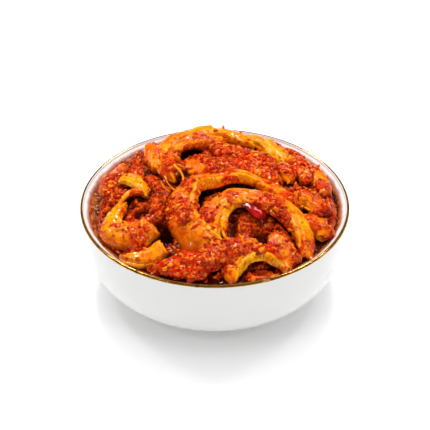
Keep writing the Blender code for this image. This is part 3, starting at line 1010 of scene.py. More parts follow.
@dataclass(frozen=True)
class MasalaBed:
    """The paste between the slices: the dome with clots, grit and pits, with painted shade in the pits and
    between clots and painted light on the clots' tops.
    """

    ground: HeapGround
    rings: int = 150
    sides: int = 520
    crowding: float = 0.75
    jumble: Wave = Wave(0.7 * MM, 3 * MM, 2)
    clot: float = 3.4 * MM
    clot_height: float = 2.3 * MM
    clot_sink: float = 0.35
    grit: float = 1.35 * MM
    grit_height: float = 0.8 * MM
    swell: Wave = Wave(1.7 * MM, 9 * MM, 3)
    skirt: float = 6.0 * MM
    press: float = 2.0 * MM
    press_share: float = 0.42
    press_slope: float = 1.6 * MM
    edge_dip: float = 0.6 * MM
    edge_slope: float = 0.6 * MM
    edge_heights: Pair = (0.18, 0.82)
    deepest: float = 2.0 * MM
    # painted shade in the pits and in the gaps between clots: its strength and limits
    pit_shade: Triple = (0.9, 0.6 * MM, 3.6 * MM)
    gap_shade: Triple = (0.75, -0.2 * MM, 0.9 * MM)
    # painted light: the rise in relief over which the clots' tops brighten
    coat_height: float = 1.2 * MM

    def pressed(self, x: np.ndarray, y: np.ndarray) -> np.ndarray:
        """How far the slices press the paste down: fully near their middle line, and less over a slope.

        Args:
            x: places across.
            y: places in depth.

        Returns:
            The depths, in metres.
        """
        inside = np.zeros_like(x)
        share = np.linspace(0.04, 0.96, 24)
        for cut in SLICES:
            angle, radius = cut.turn(share), along_parabola(cut.radius, share)
            line_x = (cut.centre[0] + radius * np.cos(angle)) * MM
            line_y = (cut.centre[1] + radius * np.sin(angle)) * MM
            for near_x, near_y in zip(line_x, line_y, strict=True):
                gap = np.hypot(x - near_x, y - near_y) - self.press_share * cut.width * MM
                inside = np.maximum(inside, ramp(-gap, -self.press_slope, 0.0))
        return self.press * inside

    def skin(self, sizes: Measures, wall: float) -> Skin:
        """The bed's top as rings from the middle outwards, closed below by a skirt.

        Its height is the dome plus clots, grit and a swell, less the pits and what the slices press down, and
        it falls to the oil near the paste's edge.

        Args:
            sizes: the bowl's measures.
            wall: the bowl's inner radius at the oil's level.

        Returns:
            The bed's skin, with coat and deep at each point: coat is each grain's tint times painted light on
            the clots' tops, and deep is painted shade.
        """
        turn = np.linspace(0, 2 * np.pi, self.sides, endpoint=False)
        share = (np.linspace(0, 1, self.rings + 1)[1:] ** self.crowding)[:, None]
        outline = self.ground.outline(wall, turn)[None]
        from_edge = (1 - share) * outline
        x, y = share * outline * np.cos(turn), share * outline * np.sin(turn)
        flat = np.stack([x, y, np.zeros_like(x)], axis=-1)
        clots, tint = grains(flat + self.jumble.at(flat, 5)[..., None], self.clot, 11)
        grit, _ = grains(flat, self.grit, 23)
        relief = self.clot_height * (clots - self.clot_sink) + self.grit_height * grit
        relief += self.swell.at(flat, 31) - self.pressed(x, y)
        depth = pit_depth(x, y)
        low = sizes.oil_level - self.edge_dip
        height = self.ground.height(sizes, x, y) + relief - depth - low
        at_edge, further = self.edge_heights
        height = height * (at_edge + further * ramp(from_edge, 0, self.ground.edge))
        z = np.maximum(low + height * ramp(from_edge, 0, self.edge_slope), low - self.deepest)
        bottom = sizes.oil_level - self.skirt
        edge = np.stack([x[-1], y[-1], np.full(self.sides, bottom)], axis=-1)
        grid = np.concatenate([np.stack([x, y, z], axis=-1), edge[None]])
        centre = self.ground.height(sizes, np.zeros(1), np.zeros(1))[0]
        points, faces = closed_tube(grid, (0, 0, centre), (0, 0, bottom))
        # painted shade: deep darkens the pits and the gaps between clots, and darkens the hidden skirt fully
        (pits, *pit_limits), (gaps, *gap_limits) = self.pit_shade, self.gap_shade
        hollow = pits * ramp(depth, *pit_limits) + gaps * ramp(-relief, *gap_limits)
        hollow = np.concatenate([hollow.ravel(), np.ones(self.sides), [0], [1]])
        # painted light: each grain's random tint times how high its clot rises, so the tops read brighter
        coat = np.concatenate([(tint * ramp(relief, 0, self.coat_height)).ravel(), np.zeros(self.sides + 2)])
        return Skin(points, outward(points, faces), {"coat": coat, "deep": np.clip(hollow, 0, 1)})


# ---------------------------------------------------------------- slices of fruit


class Dress(Enum):
    """How much masala sticks to a slice, as a shift of the coat's field."""

    BARE = -0.28
    LIGHT = -0.10
    HALF = 0.06
    FULL = 0.36


@dataclass(frozen=True)
class FruitSlice:
    """A slice of sepal: a bowed band that follows a spiral arc over the heap and tapers at its ends.

    The arc's radius and the slice's lift over the dome are given at its start, its middle and its end.
    Lengths are in millimetres and angles in degrees. Bow, ribs and lips say how strong these are.
    """

    name: str
    centre: Pair
    radius: Triple
    angle: Pair
    lift: Triple
    width: float
    thick: float
    roll: float
    taper: Pair
    dress: Dress
    gold: float
    bow: float
    ribs: float
    lips: float

    def turn(self, share: np.ndarray) -> np.ndarray:
        """Angle round the arc's centre at shares of the slice's length."""
        return np.radians(self.angle[0] + (self.angle[1] - self.angle[0]) * share)


BARE, LIGHT, HALF, FULL = Dress.BARE, Dress.LIGHT, Dress.HALF, Dress.FULL

SLICES = (
    FruitSlice("great_arc", (4, -17), (29, 20.6, 25), (49, 272), (1.2, 2.8, 1.6), 17.5, 6.2, 36,
               (0.45, 0.45), HALF, 0.45, 0.4, 0.2, 0.9),
    FruitSlice("shoulder", (16, -34), (18.5, 24.2, 25), (200, -16), (0.6, 3.8, 0.8), 15.5, 5.6, 26,
               (0.45, 0.4), LIGHT, 0.4, 0.35, 1.2, 0.4),
    FruitSlice("inner_curl", (15, -27.5), (13, 12.6, 12.6), (222, 95), (0.4, 3.2, 2.8), 6.4, 3.2, 52,
               (0.3, 0.4), BARE, 0.8, 0.2, 0.3, 1.0),
    FruitSlice("front_arm", (18, -75), (35, 35, 35), (147, 88), (0.4, 2.8, 2.6), 12.5, 6.2, 12,
               (0.5, 0.6), FULL, 0.2, 0.4, 0.5, 0.0),
    FruitSlice("front_arch", (20.5, -56), (12, 14, 12.5), (186, 18), (0.3, 3.2, 0.6), 12.5, 5.2, 14,
               (0.4, 0.35), HALF, 0.45, 0.35, 0.3, 1.0),
    FruitSlice("hook", (-35, -21.5), (16, 10.8, 9.3), (112, 326), (0.8, 2.4, 2.6), 11.8, 6.0, 24,
               (0.45, 0.95), LIGHT, 0.45, 0.3, 0.4, 0.3),
    FruitSlice("left_rim", (-34.5, -10.4), (10.4, 10, 9.3), (205, 72), (0.8, 2.6, 1.6), 5.0, 2.4, 60,
               (0.4, 0.3), LIGHT, 0.4, 0.3, 0.2, 0.8),
    FruitSlice("left_foot", (-31.5, -31), (13.5, 13, 12), (222, 322), (0.6, 1.8, 1.2), 9.0, 5.2, 18,
               (0.4, 0.9), LIGHT, 0.5, 0.3, 0.6, 0.1),
    FruitSlice("left_wedge", (-54, -8), (22, 22, 22.5), (68, 12), (1.6, 2.8, 1.0), 9.4, 5.0, 18,
               (0.5, 0.7), BARE, 0.8, 0.2, 0.7, 0.0),
    FruitSlice("back_outer", (-3, 27), (21.5, 19.8, 21.6), (206, 78), (1.0, 3.4, 3.6), 11.5, 6.0, 8,
               (0.4, 0.8), LIGHT, 0.5, 0.3, 1.3, 0.3),
    FruitSlice("back_inner", (-3, 22), (22, 20.2, 18.4), (224, 58), (0.4, 2.6, 2.0), 11.4, 5.8, 26,
               (0.35, 0.5), HALF, 0.35, 0.3, 1.4, 0.4),
    FruitSlice("back_crest", (0, 24), (24, 24.2, 24.5), (104, 36), (3.4, 3.0, 1.0), 10.9, 5.5, 14,
               (0.7, 0.5), LIGHT, 0.45, 0.3, 0.7, 0.1),
    FruitSlice("right_band", (3, 10), (37.5, 36.5, 34.5), (80, 26), (1.0, 2.0, 0.8), 12.2, 5.3, 22,
               (0.55, 0.5), BARE, 0.8, 0.3, 0.6, 0.2),
    FruitSlice("middle_ridge", (0, 0), (31, 31, 31), (92, 24), (0.8, 1.8, 0.8), 10.4, 5.3, 10,
               (0.6, 0.5), FULL, 0.2, 0.3, 0.4, 0.0),
    FruitSlice("middle_band", (6, -18), (35, 34.5, 34), (122, 44), (0.6, 1.4, 0.6), 9.9, 4.8, 14,
               (0.5, 0.5), FULL, 0.3, 0.3, 0.4, 0.0),
    FruitSlice("flat_chip", (-18, 14), (9, 9, 9), (-24, 58), (1.0, 1.8, 1.2), 8.8, 3.0, 4,
               (0.7, 0.7), BARE, 0.15, 0.1, 0.1, 0.0),
    FruitSlice("pale_tip", (20, 14), (14, 14.5, 15), (36, -28), (1.2, 2.2, 0.6), 6.8, 3.9, 16,
               (0.6, 0.3), LIGHT, 0.5, 0.3, 0.6, 0.0),
    FruitSlice("right_lobe", (31, -16), (16.5, 17.5, 18.5), (62, 8), (1.0, 2.6, 0.8), 11.7, 5.3, 20,
               (0.6, 0.6), HALF, 0.25, 0.3, 0.2, 0.1),
    FruitSlice("right_wedge", (33, -32), (16, 17.3, 18), (68, 12), (0.8, 1.8, 1.0), 9.4, 4.6, 10,
               (0.5, 0.8), HALF, 0.35, 0.3, 0.3, 0.0),
    FruitSlice("right_wall", (0, 0), (50.5, 52, 53.5), (31, 2), (1.0, 1.6, 0.8), 7.8, 4.6, 8,
               (0.6, 0.5), HALF, 0.4, 0.3, 0.4, 0.0),
    FruitSlice("right_back", (10, 4), (38, 36, 34), (46, 8), (0.8, 1.8, 0.8), 8.6, 4.8, 10,
               (0.6, 0.5), HALF, 0.35, 0.3, 0.4, 0.0),
    FruitSlice("left_back_post", (-58, 30), (28, 27, 26), (22, -16), (0.8, 2.0, 0.6), 8.3, 5.1, 16,
               (0.7, 0.4), HALF, 0.2, 0.3, 0.4, 0.0),
    FruitSlice("left_back_rib", (-51, 26), (22, 22.5, 23), (28, -26), (0.8, 2.2, 0.6), 8.3, 5.1, 10,
               (0.6, 0.5), HALF, 0.35, 0.3, 0.8, 0.0),
    FruitSlice("left_wall", (0, 0), (52, 51, 50), (178, 150), (0.6, 1.2, 0.6), 7.6, 4.0, 6,
               (0.5, 0.6), FULL, 0.3, 0.3, 0.4, 0.0),
    FruitSlice("left_knot", (-44, 2), (9, 9.5, 10), (150, 40), (0.6, 1.8, 0.6), 7.8, 4.6, 12,
               (0.5, 0.5), FULL, 0.3, 0.3, 0.3, 0.0),
    FruitSlice("front_left", (-10, -66), (20.5, 21.2, 22), (134, 76), (0.6, 1.6, 0.8), 9.1, 5.1, 8,
               (0.6, 0.6), FULL, 0.2, 0.3, 0.4, 0.0),
    FruitSlice("front_wall", (0, 0), (53.5, 53.8, 54), (239, 262), (0.6, 1.2, 0.8), 6.0, 3.9, 6,
               (0.5, 0.5), FULL, 0.4, 0.3, 0.3, 0.0),
    FruitSlice("right_inner", (49, -27), (21.5, 22, 23), (184, 238), (0.4, 1.8, 0.8), 9.4, 5.1, 20,
               (0.35, 0.6), HALF, 0.4, 0.3, 0.4, 0.1),
    FruitSlice("shoulder_back", (10, -30), (36, 36.2, 36.5), (78, 32), (0.4, 1.2, 0.4), 8.3, 4.6, 18,
               (0.5, 0.4), HALF, 0.4, 0.3, 0.9, 0.0),
)


def along_parabola(values: Triple, share: np.ndarray) -> np.ndarray:
    """The parabola through three values, at shares 0, one half and 1."""
    start, middle, end = values
    outer = start * (1 - share) * (1 - 2 * share) + 4 * middle * share * (1 - share)
    return outer + end * share * (2 * share - 1)


@dataclass(frozen=True)
class Trail:
    """A slice's centre line with its frame and its sizes at each row."""

    line: np.ndarray
    forward: np.ndarray
    wide: np.ndarray
    high: np.ndarray
    along: np.ndarray
    width: np.ndarray
    thick: np.ndarray
    closing: np.ndarray


@dataclass(frozen=True)
class Body:
    """A slice before its relief: its grid of points, and each column's and point's place in the section."""

    grid: np.ndarray
    turn: np.ndarray
    u: np.ndarray
    sideways: np.ndarray
    upwards: np.ndarray


@dataclass(frozen=True)
class SliceCutter:
    """Turns the list of slices into skins."""

    ground: HeapGround
    spacing: float = 0.36 * MM
    least_rows: int = 24
    least_columns: int = 28
    drift: Wave = Wave(1.0 * MM, 15 * MM)
    swell: Wave = Wave(0.6 * MM, 12 * MM)
    twist: Wave = Wave(14, 22 * MM)
    breadth: Wave = Wave(0.16, 9 * MM)
    nicks: Wave = Wave(0.07, 3 * MM)
    fullness: Wave = Wave(0.14, 10 * MM)
    taper_length: float = 0.35
    nose_length: float = 0.25
    least_nose: float = 0.02
    section_power: float = 0.44
    thin_edges: float = 0.25
    frayed_sides: Wave = Wave(0.09, 3.2 * MM, 2)
    side_gap: float = 6 * MM
    tear: float = 2.2 * MM
    tear_size: float = 8 * MM
    tear_reach: float = 6.0 * MM
    undulation: Wave = Wave(0.85 * MM, 7 * MM, 2)
    lip: float = 0.55 * MM
    lip_place: Pair = (1.0 * MM, 0.6 * MM)
    groove_place: Pair = (2.3 * MM, 0.5 * MM)
    groove_share: float = 0.8
    waver: Wave = Wave(0.9, 9 * MM)
    waver_limits: Pair = (0.2, 1.6)
    top_limits: Pair = (-0.1, 0.3)
    fibre_stretch: float = 9
    rib_gap: float = 1.0 * MM
    rib_height: float = 0.42 * MM
    least_ribs: float = 0.3
    smothered: float = 0.6
    crack_gap: float = 2.6
    crack_limits: Pair = (0.28, 0.55)
    crack_depth: float = 0.9 * MM
    coating: Wave = Wave(0.9, 7 * MM, 3)
    coat_shift: float = 0.25
    coat_limits: Pair = (0.0, 0.9)
    bare_lips: float = 0.6
    clot: float = 2.6 * MM
    clot_height: float = 0.55 * MM
    clot_sink: float = 0.3
    grit: float = 1.25 * MM
    grit_height: float = 0.45 * MM
    browning: Wave = Wave(0.5, 9 * MM)
    brown_limits: Pair = (0.05, 0.65)
    yellowing: Wave = Wave(0.45, 6 * MM, 3)
    yellow_share: float = 0.6
    streak_limits: Pair = (0.0, 0.7)
    fibre_limits: Pair = (0.15, 0.7)
    # painted shade: the pits' depth limits, how far below the dome the shade deepens, and how dark the gaps
    # between clots become
    pit_limits: Pair = (1 * MM, 4 * MM)
    shade_depth: float = 2.5 * MM
    clot_shade: float = 0.75
    end_cap: float = 0.2 * MM

    def narrowing(self, share: np.ndarray, taper: float) -> np.ndarray:
        """The width's share near an end: from the taper to 1 as a quarter sine over the taper's length."""
        return taper + (1 - taper) * np.sin(np.clip(share / self.taper_length, 0, 1) * np.pi / 2)

    def trail(self, cut: FruitSlice, sizes: Measures, seed: int) -> Trail:
        """The spiral arc laid on the dome, with its frame turned by the roll and its width and thickness.

        The line wanders by soft noise. The width narrows towards the tapers as a quarter sine, and closes at
        the very ends as a quarter of an ellipse.

        Args:
            cut: the slice.
            sizes: the bowl's measures.
            seed: picks the slice's own noise.

        Returns:
            The trail.
        """
        length = abs(math.radians(cut.angle[1] - cut.angle[0])) * sum(cut.radius) / 3 * MM
        rows = max(self.least_rows, round(length / self.spacing))
        share = np.linspace(0.0, 1.0, rows + 2)[1:-1]
        angle, radius = cut.turn(share), along_parabola(cut.radius, share) * MM
        away = np.stack([np.cos(angle), np.sin(angle), np.zeros_like(angle)], axis=-1)
        x = cut.centre[0] * MM + radius * away[:, 0]
        y = cut.centre[1] * MM + radius * away[:, 1]
        z = self.ground.height(sizes, x, y) + along_parabola(cut.lift, share) * MM
        along = share * length
        track = np.stack([along, np.full(rows, seed * 0.013), np.zeros(rows)], axis=-1)
        line = np.stack([x, y, z], axis=-1) + away * self.drift.at(track, seed)[:, None]
        line[:, 2] += self.swell.at(track, seed + 1)
        forward = unit(np.gradient(line, axis=0))
        across = unit(away - (away * forward).sum(1, keepdims=True) * forward)
        up = np.cross(forward, across)
        up *= np.sign(up[:, 2:3])
        tilt = np.radians(cut.roll + self.twist.at(track, seed + 2))[:, None]
        narrow = self.narrowing(share, cut.taper[0])
        narrow *= self.narrowing(1 - share, cut.taper[1])
        from_end = np.minimum(along, length - along) / (self.nose_length * cut.width * MM)
        closing = np.sqrt(np.clip(1 - (1 - np.clip(from_end, 0, 1)) ** 2, self.least_nose, 1))
        wander = 1 + self.breadth.at(track, seed + 3) + self.nicks.at(track, seed + 14)
        fullness = 1 + self.fullness.at(track, seed + 4)
        return Trail(
            line=line,
            forward=forward,
            wide=across * np.cos(tilt) - up * np.sin(tilt),
            high=across * np.sin(tilt) + up * np.cos(tilt),
            along=along,
            width=cut.width * MM * narrow * closing * wander,
            thick=cut.thick * MM * np.sqrt(narrow) * closing * fullness,
            closing=closing[:, None],
        )

    def body(self, cut: FruitSlice, trail: Trail, seed: int) -> Body:
        """The smooth slice over (share of its length, turn round its section).

        The section is a superellipse, thinner at its edges and bowed down by the square of the distance from
        its middle; its sides are frayed, and its ends torn, by noise.

        Args:
            cut: the slice.
            trail: its centre line.
            seed: picks the slice's own noise.

        Returns:
            The body.
        """
        along, width = trail.along[:, None], trail.width[:, None]
        columns = round(2.3 * (cut.width + cut.thick * 0.6) * MM / self.spacing)
        turn = np.linspace(0, 2 * np.pi, max(self.least_columns, columns), endpoint=False)
        u = np.sign(np.cos(turn)) * np.abs(np.cos(turn)) ** self.section_power
        v = np.sign(np.sin(turn)) * np.abs(np.sin(turn)) ** self.section_power * (1 - self.thin_edges * u**2)
        sides = np.stack(np.broadcast_arrays(along, self.side_gap * np.sign(u)[None], 0.0), axis=-1)
        sideways = width / 2 * u * (1 + self.frayed_sides.at(sides, seed + 5))
        upwards = trail.thick[:, None] / 2 * v - cut.bow * width / 2 * u**2 * 0.5
        grid = trail.line[:, None] + trail.wide[:, None] * sideways[..., None]
        grid = grid + trail.high[:, None] * upwards[..., None]
        ends = np.minimum(along, along[-1] - along)
        torn = self.tear * ramp(self.tear_reach - ends, 0, self.tear_reach) * np.sign(along - along[-1] / 2)
        torn = torn * layered_noise(3 * grid * (1, 1, 0), self.tear_size, 2, seed + 15)
        return Body(grid + trail.forward[:, None] * torn[..., None], turn, u, sideways, upwards)

    def skin(self, cut: FruitSlice, sizes: Measures, seed: int) -> Skin:
        """The slice's body with its relief, and what its material reads at each point.

        The body moves along its normals by a wide undulation, a raised lip with a groove along the inner
        edge, ribs and cracks that run along the slice, and clots and grit where the masala lies.

        Args:
            cut: the slice.
            sizes: the bowl's measures.
            seed: picks the slice's own noise.

        Returns:
            The skin, with coat, gold, amber, streak, fibre and deep at each point; deep is painted shade, and
            streak is partly painted shade in creases.
        """
        trail = self.trail(cut, sizes, seed)
        body = self.body(cut, trail, seed)
        grid, u = body.grid, body.u
        along, width = trail.along[:, None], trail.width[:, None]
        normal = self.normals(grid)
        normal *= np.sign((normal * (grid - trail.line[:, None])).sum(-1).mean())

        top = ramp(np.sin(body.turn), *self.top_limits)[None]
        inwards = (1 + u)[None] * width / 2
        track = np.stack([along[:, 0], 0 * along[:, 0], 0 * along[:, 0]], -1)
        waver = np.clip(1 + self.waver.at(track, seed + 16), *self.waver_limits)[:, None]
        lips, grooves = (
            np.exp(-(((inwards - place) / half) ** 2)) * top * cut.lips * waver
            for place, half in (self.lip_place, self.groove_place)
        )
        drawn_out = np.broadcast_arrays(along / self.fibre_stretch, body.sideways, 0.6 * body.upwards)
        fibres = np.stack(drawn_out, axis=-1)
        ribs = layered_noise(fibres, self.rib_gap, 2, seed + 6)
        cracks = layered_noise(fibres, self.crack_gap * self.rib_gap, 2, seed + 17)
        cracks = ramp(cracks, *self.crack_limits) * (0.2 + 0.8 * min(cut.ribs, 1))
        smear_coat, smear_gold = smeared(grid[..., 0], grid[..., 1])
        coat = self.coating.at(grid, seed + 7) + cut.dress.value + self.coat_shift + smear_coat
        coat = ramp(coat - self.bare_lips * lips, *self.coat_limits)
        bumps, _ = grains(grid, self.grit, seed + 8)
        clots, _ = grains(grid, self.clot, seed + 13)
        move = self.undulation.at(grid, seed + 9) + self.lip * (lips - self.groove_share * grooves)
        move += self.rib_height * ribs * (self.least_ribs + cut.ribs) * (1 - self.smothered * coat)
        move -= self.crack_depth * cracks * (1 - coat)
        move += (self.grit_height * bumps + self.clot_height * (clots - self.clot_sink)) * coat
        grid = grid + normal * (move * trail.closing)[..., None]

        # painted shade: darker where a point lies below the dome, more so over the pits, and in the gaps
        # between clots and grit
        pit = ramp(pit_depth(grid[..., 0], grid[..., 1]), *self.pit_limits)
        below = self.ground.height(sizes, grid[..., 0], grid[..., 1]) + (1 + 2.2 * pit) * MM - grid[..., 2]
        between = self.clot_shade * coat * ramp(0.5 - bumps, 0, 0.4) * ramp(0.6 - clots, 0, 0.4)
        browned = 0.5 + self.browning.at(grid, seed + 11)
        golden = self.yellow_share * smear_gold
        # partly painted shade: the flesh's streaks are laid in the rib furrows, the lip's groove and the
        # cracks
        furrows = ramp(-ribs, *self.streak_limits) * (0.25 + 0.6 * cut.ribs)
        paint = {
            "coat": coat,
            "gold": cut.gold + self.yellow_share * lips + golden + self.yellowing.at(grid, seed + 12),
            "amber": ramp(u, *self.brown_limits)[None] * browned - golden,
            # streaks that are partly painted shade in the creases
            "streak": furrows + 0.5 * grooves + 0.9 * cracks,
            "fibre": ramp(ribs, *self.fibre_limits) * cut.ribs * (1 - coat),
            # painted shade
            "deep": np.maximum(ramp(below, 0, self.shade_depth) * (0.35 + 0.65 * pit), between),
        }
        first = grid[0].mean(0) - trail.forward[0] * self.end_cap
        last = grid[-1].mean(0) + trail.forward[-1] * self.end_cap
        points, faces = closed_tube(grid, first, last)
        paint = {key: np.clip(np.append(part.ravel(), part[[0, -1], 0]), 0, 1) for key, part in paint.items()}
        return Skin(points, outward(points, faces), paint)

    def normals(self, grid: np.ndarray) -> np.ndarray:
        """Unit normals of a grid of rings: the cross product of its two slopes."""
        wrapped = np.concatenate([grid[:, -1:], grid, grid[:, :1]], axis=1)
        return unit(np.cross(wrapped[:, 2:] - wrapped[:, :-2], np.gradient(grid, axis=0)))


# ---------------------------------------------------------------- oil


@dataclass(frozen=True)
class OilPool:
    """The oil between the paste and the wall: flat, and drawn up a little where it meets them."""

    ground: HeapGround
    sides: int = 360
    steps: int = 26
    depth: float = 5.0 * MM
    meniscus: float = 0.45 * MM
    reach: float = 0.9 * MM
    under_paste: float = 9.0 * MM
    wall_gap: float = 0.02 * MM
    foot_gap: float = 1.4 * MM
    film_at: float = 162.0
    film_half: float = 34.0
    film_least: float = 1.5
    film_extra: float = 6.5

    def skin(self, sizes: Measures, wall: float) -> Skin:
        """The oil's top from the paste to the wall, closed by its sides and bottom.

        It climbs the wall as exp(-distance), and its thin film is widest at one turn and narrows from there
        as exp(-distance squared).

        Args:
            sizes: the bowl's measures.
            wall: the bowl's inner radius at the oil's level.

        Returns:
            The skin, with thin at each point, which is 1 at the wall.
        """
        turn = np.linspace(0, 2 * np.pi, self.sides, endpoint=False)
        share = np.linspace(0, 1, self.steps)[:, None]
        inner = self.ground.outline(wall, turn)[None] - self.under_paste
        outer = wall - self.wall_gap
        radius = inner + (outer - inner) * share
        climb = self.meniscus * np.exp(-(outer - radius) / self.reach)
        level = sizes.oil_level - self.meniscus
        top = np.stack([radius * np.cos(turn), radius * np.sin(turn), level + climb], axis=-1)
        low = top[[-1, 0]].copy()
        low[..., 2] = sizes.oil_level - self.depth
        low[0, :, :2] *= 1 - self.foot_gap / wall
        grid = np.concatenate([top, low, top[:1]])
        points = grid[:-1].reshape(-1, 3)
        faces = grid_quads(len(grid), self.sides, True) % len(points)
        from_widest = (np.degrees(turn) - self.film_at) / self.film_half
        film = (self.film_least + self.film_extra * np.exp(-(from_widest**2))) * MM
        thin = np.concatenate([ramp((radius - outer) / film, -1, -0.2).ravel(), np.zeros(2 * self.sides)])
        return Skin(points, outward(points, [faces]), {"thin": thin})


# ---------------------------------------------------------------- chilli


@dataclass(frozen=True)
class ChilliStrip:
    """A strip of soft chilli lying across the inner curl."""

    centre: Pair = (12, -26)
    radius: float = 9.5
    angle: Pair = (98, -6)
    lift: float = 5.0
    width: float = 9.2
    thick: float = 2.2
    roll: float = 28.0
    taper: float = 0.4
    bow: float = 0.5

    def cut(self) -> FruitSlice:
        """The strip as a smooth slice without masala."""
        return FruitSlice(
            name="chilli",
            centre=self.centre,
            radius=(self.radius,) * 3,
            angle=self.angle,
            lift=(self.lift,) * 3,
            width=self.width,
            thick=self.thick,
            roll=self.roll,
            taper=(self.taper,) * 2,
            dress=Dress.BARE,
            gold=0.0,
            bow=self.bow,
            ribs=0.0,
            lips=0.0,
        )


# ---------------------------------------------------------------- scattered spice


@dataclass
class Stock:
    """Places on the filling's surface where spice can lie."""

    middle: np.ndarray
    normal: np.ndarray
    weight: np.ndarray

    @classmethod
    def gather(cls, skins: list[Skin], cell: float = 0.5 * MM, span: float = 0.14) -> "Stock":
        """Collects the faces that show from above: those near the highest point of their cell of a net.

        Each place weighs its area times how well spice sticks there, which grows with the square of its coat,
        and how open it lies, which grows with the square of how little it is hollowed.

        Args:
            skins: the bed and the slices.
            cell: the net's cell, in metres.
            span: the net's side, in metres.

        Returns:
            The places with their normals and weights.
        """
        middle, normal, area = (np.concatenate(part) for part in zip(*(skin.centres() for skin in skins)))
        coat, deep = (
            np.concatenate([skin.paint[key][skin.faces[0][:, 0]] for skin in skins])
            for key in ("coat", "deep")
        )
        size = int(span / cell)
        place = np.clip(np.floor((middle[:, :2] + span / 2) / cell).astype(int), 0, size - 1)
        key = place[:, 0] * size + place[:, 1]
        top = np.full(size * size, -1.0)
        np.maximum.at(top, key, middle[:, 2])
        allowed = 0.5 * MM + 2.0 * MM * np.clip(1 - normal[:, 2], 0, 1)
        seen = (middle[:, 2] > top[key] - allowed) & (normal[:, 2] > 0.05)
        weight = area * (0.03 + coat**2) * (0.05 + (1 - deep) ** 2)
        return cls(middle[seen], normal[seen], weight[seen])

    def draw(
        self, count: int, chance: np.random.Generator, patch: float, seed: int
    ) -> tuple[np.ndarray, np.ndarray]:
        """Draws places at random, more of them inside patches of soft noise.

        Args:
            count: how many.
            chance: the source of random numbers.
            patch: size of the patches, in metres.
            seed: picks the patches.

        Returns:
            The places and their normals.
        """
        patches = 0.35 + Wave(1.2, patch, 2).at(self.middle, seed)
        share = self.weight * np.clip(patches, 0.03, None)
        picked = chance.choice(len(share), count, p=share / share.sum())
        return self.middle[picked], self.normal[picked]


def basis(normal: np.ndarray, chance: np.random.Generator, lean: float) -> np.ndarray:
    """Random frames whose third axis leans a little from the normal.

    Args:
        normal: unit normals, (n, 3).
        chance: the source of random numbers.
        lean: how far they may lean, as a share of a right angle's tangent.

    Returns:
        Matrices (n, 3, 3) whose rows are the axes.
    """
    third = unit(normal + lean * chance.uniform(-1, 1, normal.shape))
    first = unit(np.cross(third, chance.normal(size=normal.shape)))
    return np.stack([first, np.cross(third, first), third], axis=1)


def ball(level: int) -> tuple[np.ndarray, np.ndarray]:
    """A unit ball of triangles: an icosahedron whose edges are halved level times.

    Args:
        level: 0 gives 20 faces, 1 gives 80.

    Returns:
        Its points and its faces.
    """
    long = (1 + 5**0.5) / 2
    base = [(-1, long, 0), (1, long, 0), (-1, -long, 0), (1, -long, 0)]
    points = np.array(base + [(z, x, y) for x, y, z in base] + [(y, z, x) for x, y, z in base], float)
    points /= np.linalg.norm(points[0])
    near = np.linalg.norm(points[:, None] - points[None], axis=-1) < 1.1
    triples = itertools.combinations(range(len(points)), 3)
    faces = np.array([(i, j, k) for i, j, k in triples if near[i, j] and near[j, k] and near[i, k]])
    for _ in range(level):
        corner = points[faces]
        halves = unit(corner + corner[:, [1, 2, 0]])
        stack = np.concatenate([corner, halves], axis=1)
        pieces = [(0, 3, 5), (3, 1, 4), (5, 4, 2), (3, 4, 5)]
        loose = np.concatenate([stack[:, list(p)] for p in pieces]).reshape(-1, 3)
        points, back = np.unique(np.round(loose, 6), axis=0, return_inverse=True)
        faces = back.reshape(-1, 3)
    corner = points[faces]
    turned = (np.cross(corner[:, 1] - corner[:, 0], corner[:, 2] - corner[:, 0]) * corner[:, 0]).sum(1) < 0
    faces[turned] = faces[turned][:, ::-1]
    return points, faces


def strewn(shape: tuple, where: np.ndarray, axes: np.ndarray, sizes: np.ndarray, jag: np.ndarray) -> Skin:
    """Copies of a shape, each stretched along its axes, roughened and put in its place, as one skin.

    Args:
        shape: the points (k, 3) and the faces of one copy.
        where: the places (n, 3).
        axes: the frames (n, 3, 3).
        sizes: half sizes along the axes (n, 3).
        jag: a factor for each point of each copy (n, k).

    Returns:
        The joined skin.
    """
    local = shape[0][None] * sizes[:, None] * jag[..., None]
    points = where[:, None] + np.einsum("nki,nij->nkj", local, axes)
    count, corners = jag.shape
    faces = shape[1][None] + (np.arange(count) * corners)[:, None, None]
    return Skin(points.reshape(-1, 3), [faces.reshape(-1, shape[1].shape[1])])


def sliver(rows: int = 7, columns: int = 6) -> tuple[np.ndarray, np.ndarray]:
    """A unit sliver: a tube bent down by a quarter of the square of its length, with a point at each end.

    Args:
        rows: rings along it.
        columns: points in a ring.

    Returns:
        Its points and its triangles.
    """
    along = np.linspace(-0.92, 0.92, rows)[:, None]
    turn = np.linspace(0, 2 * np.pi, columns, endpoint=False)[None]
    girth = np.sqrt(1 - along**2) * (0.8 + 0.2 * np.cos(5 * along))
    grid = np.stack([along + 0 * turn, girth * np.cos(turn), girth * np.sin(turn) - 0.25 * along**2], axis=-1)
    points, faces = closed_tube(grid, (-1, 0, -0.25), (1, 0, -0.25))
    quads, head, tail = outward(points, faces)
    return points, np.concatenate([quads[:, :3], quads[:, [0, 2, 3]], head, tail])


class Law(Enum):
    """How the grain sizes of one kind are spread."""

    EVEN = "between two limits"
    SKEWED = "about a middle size, with a spread, so that a few are large"


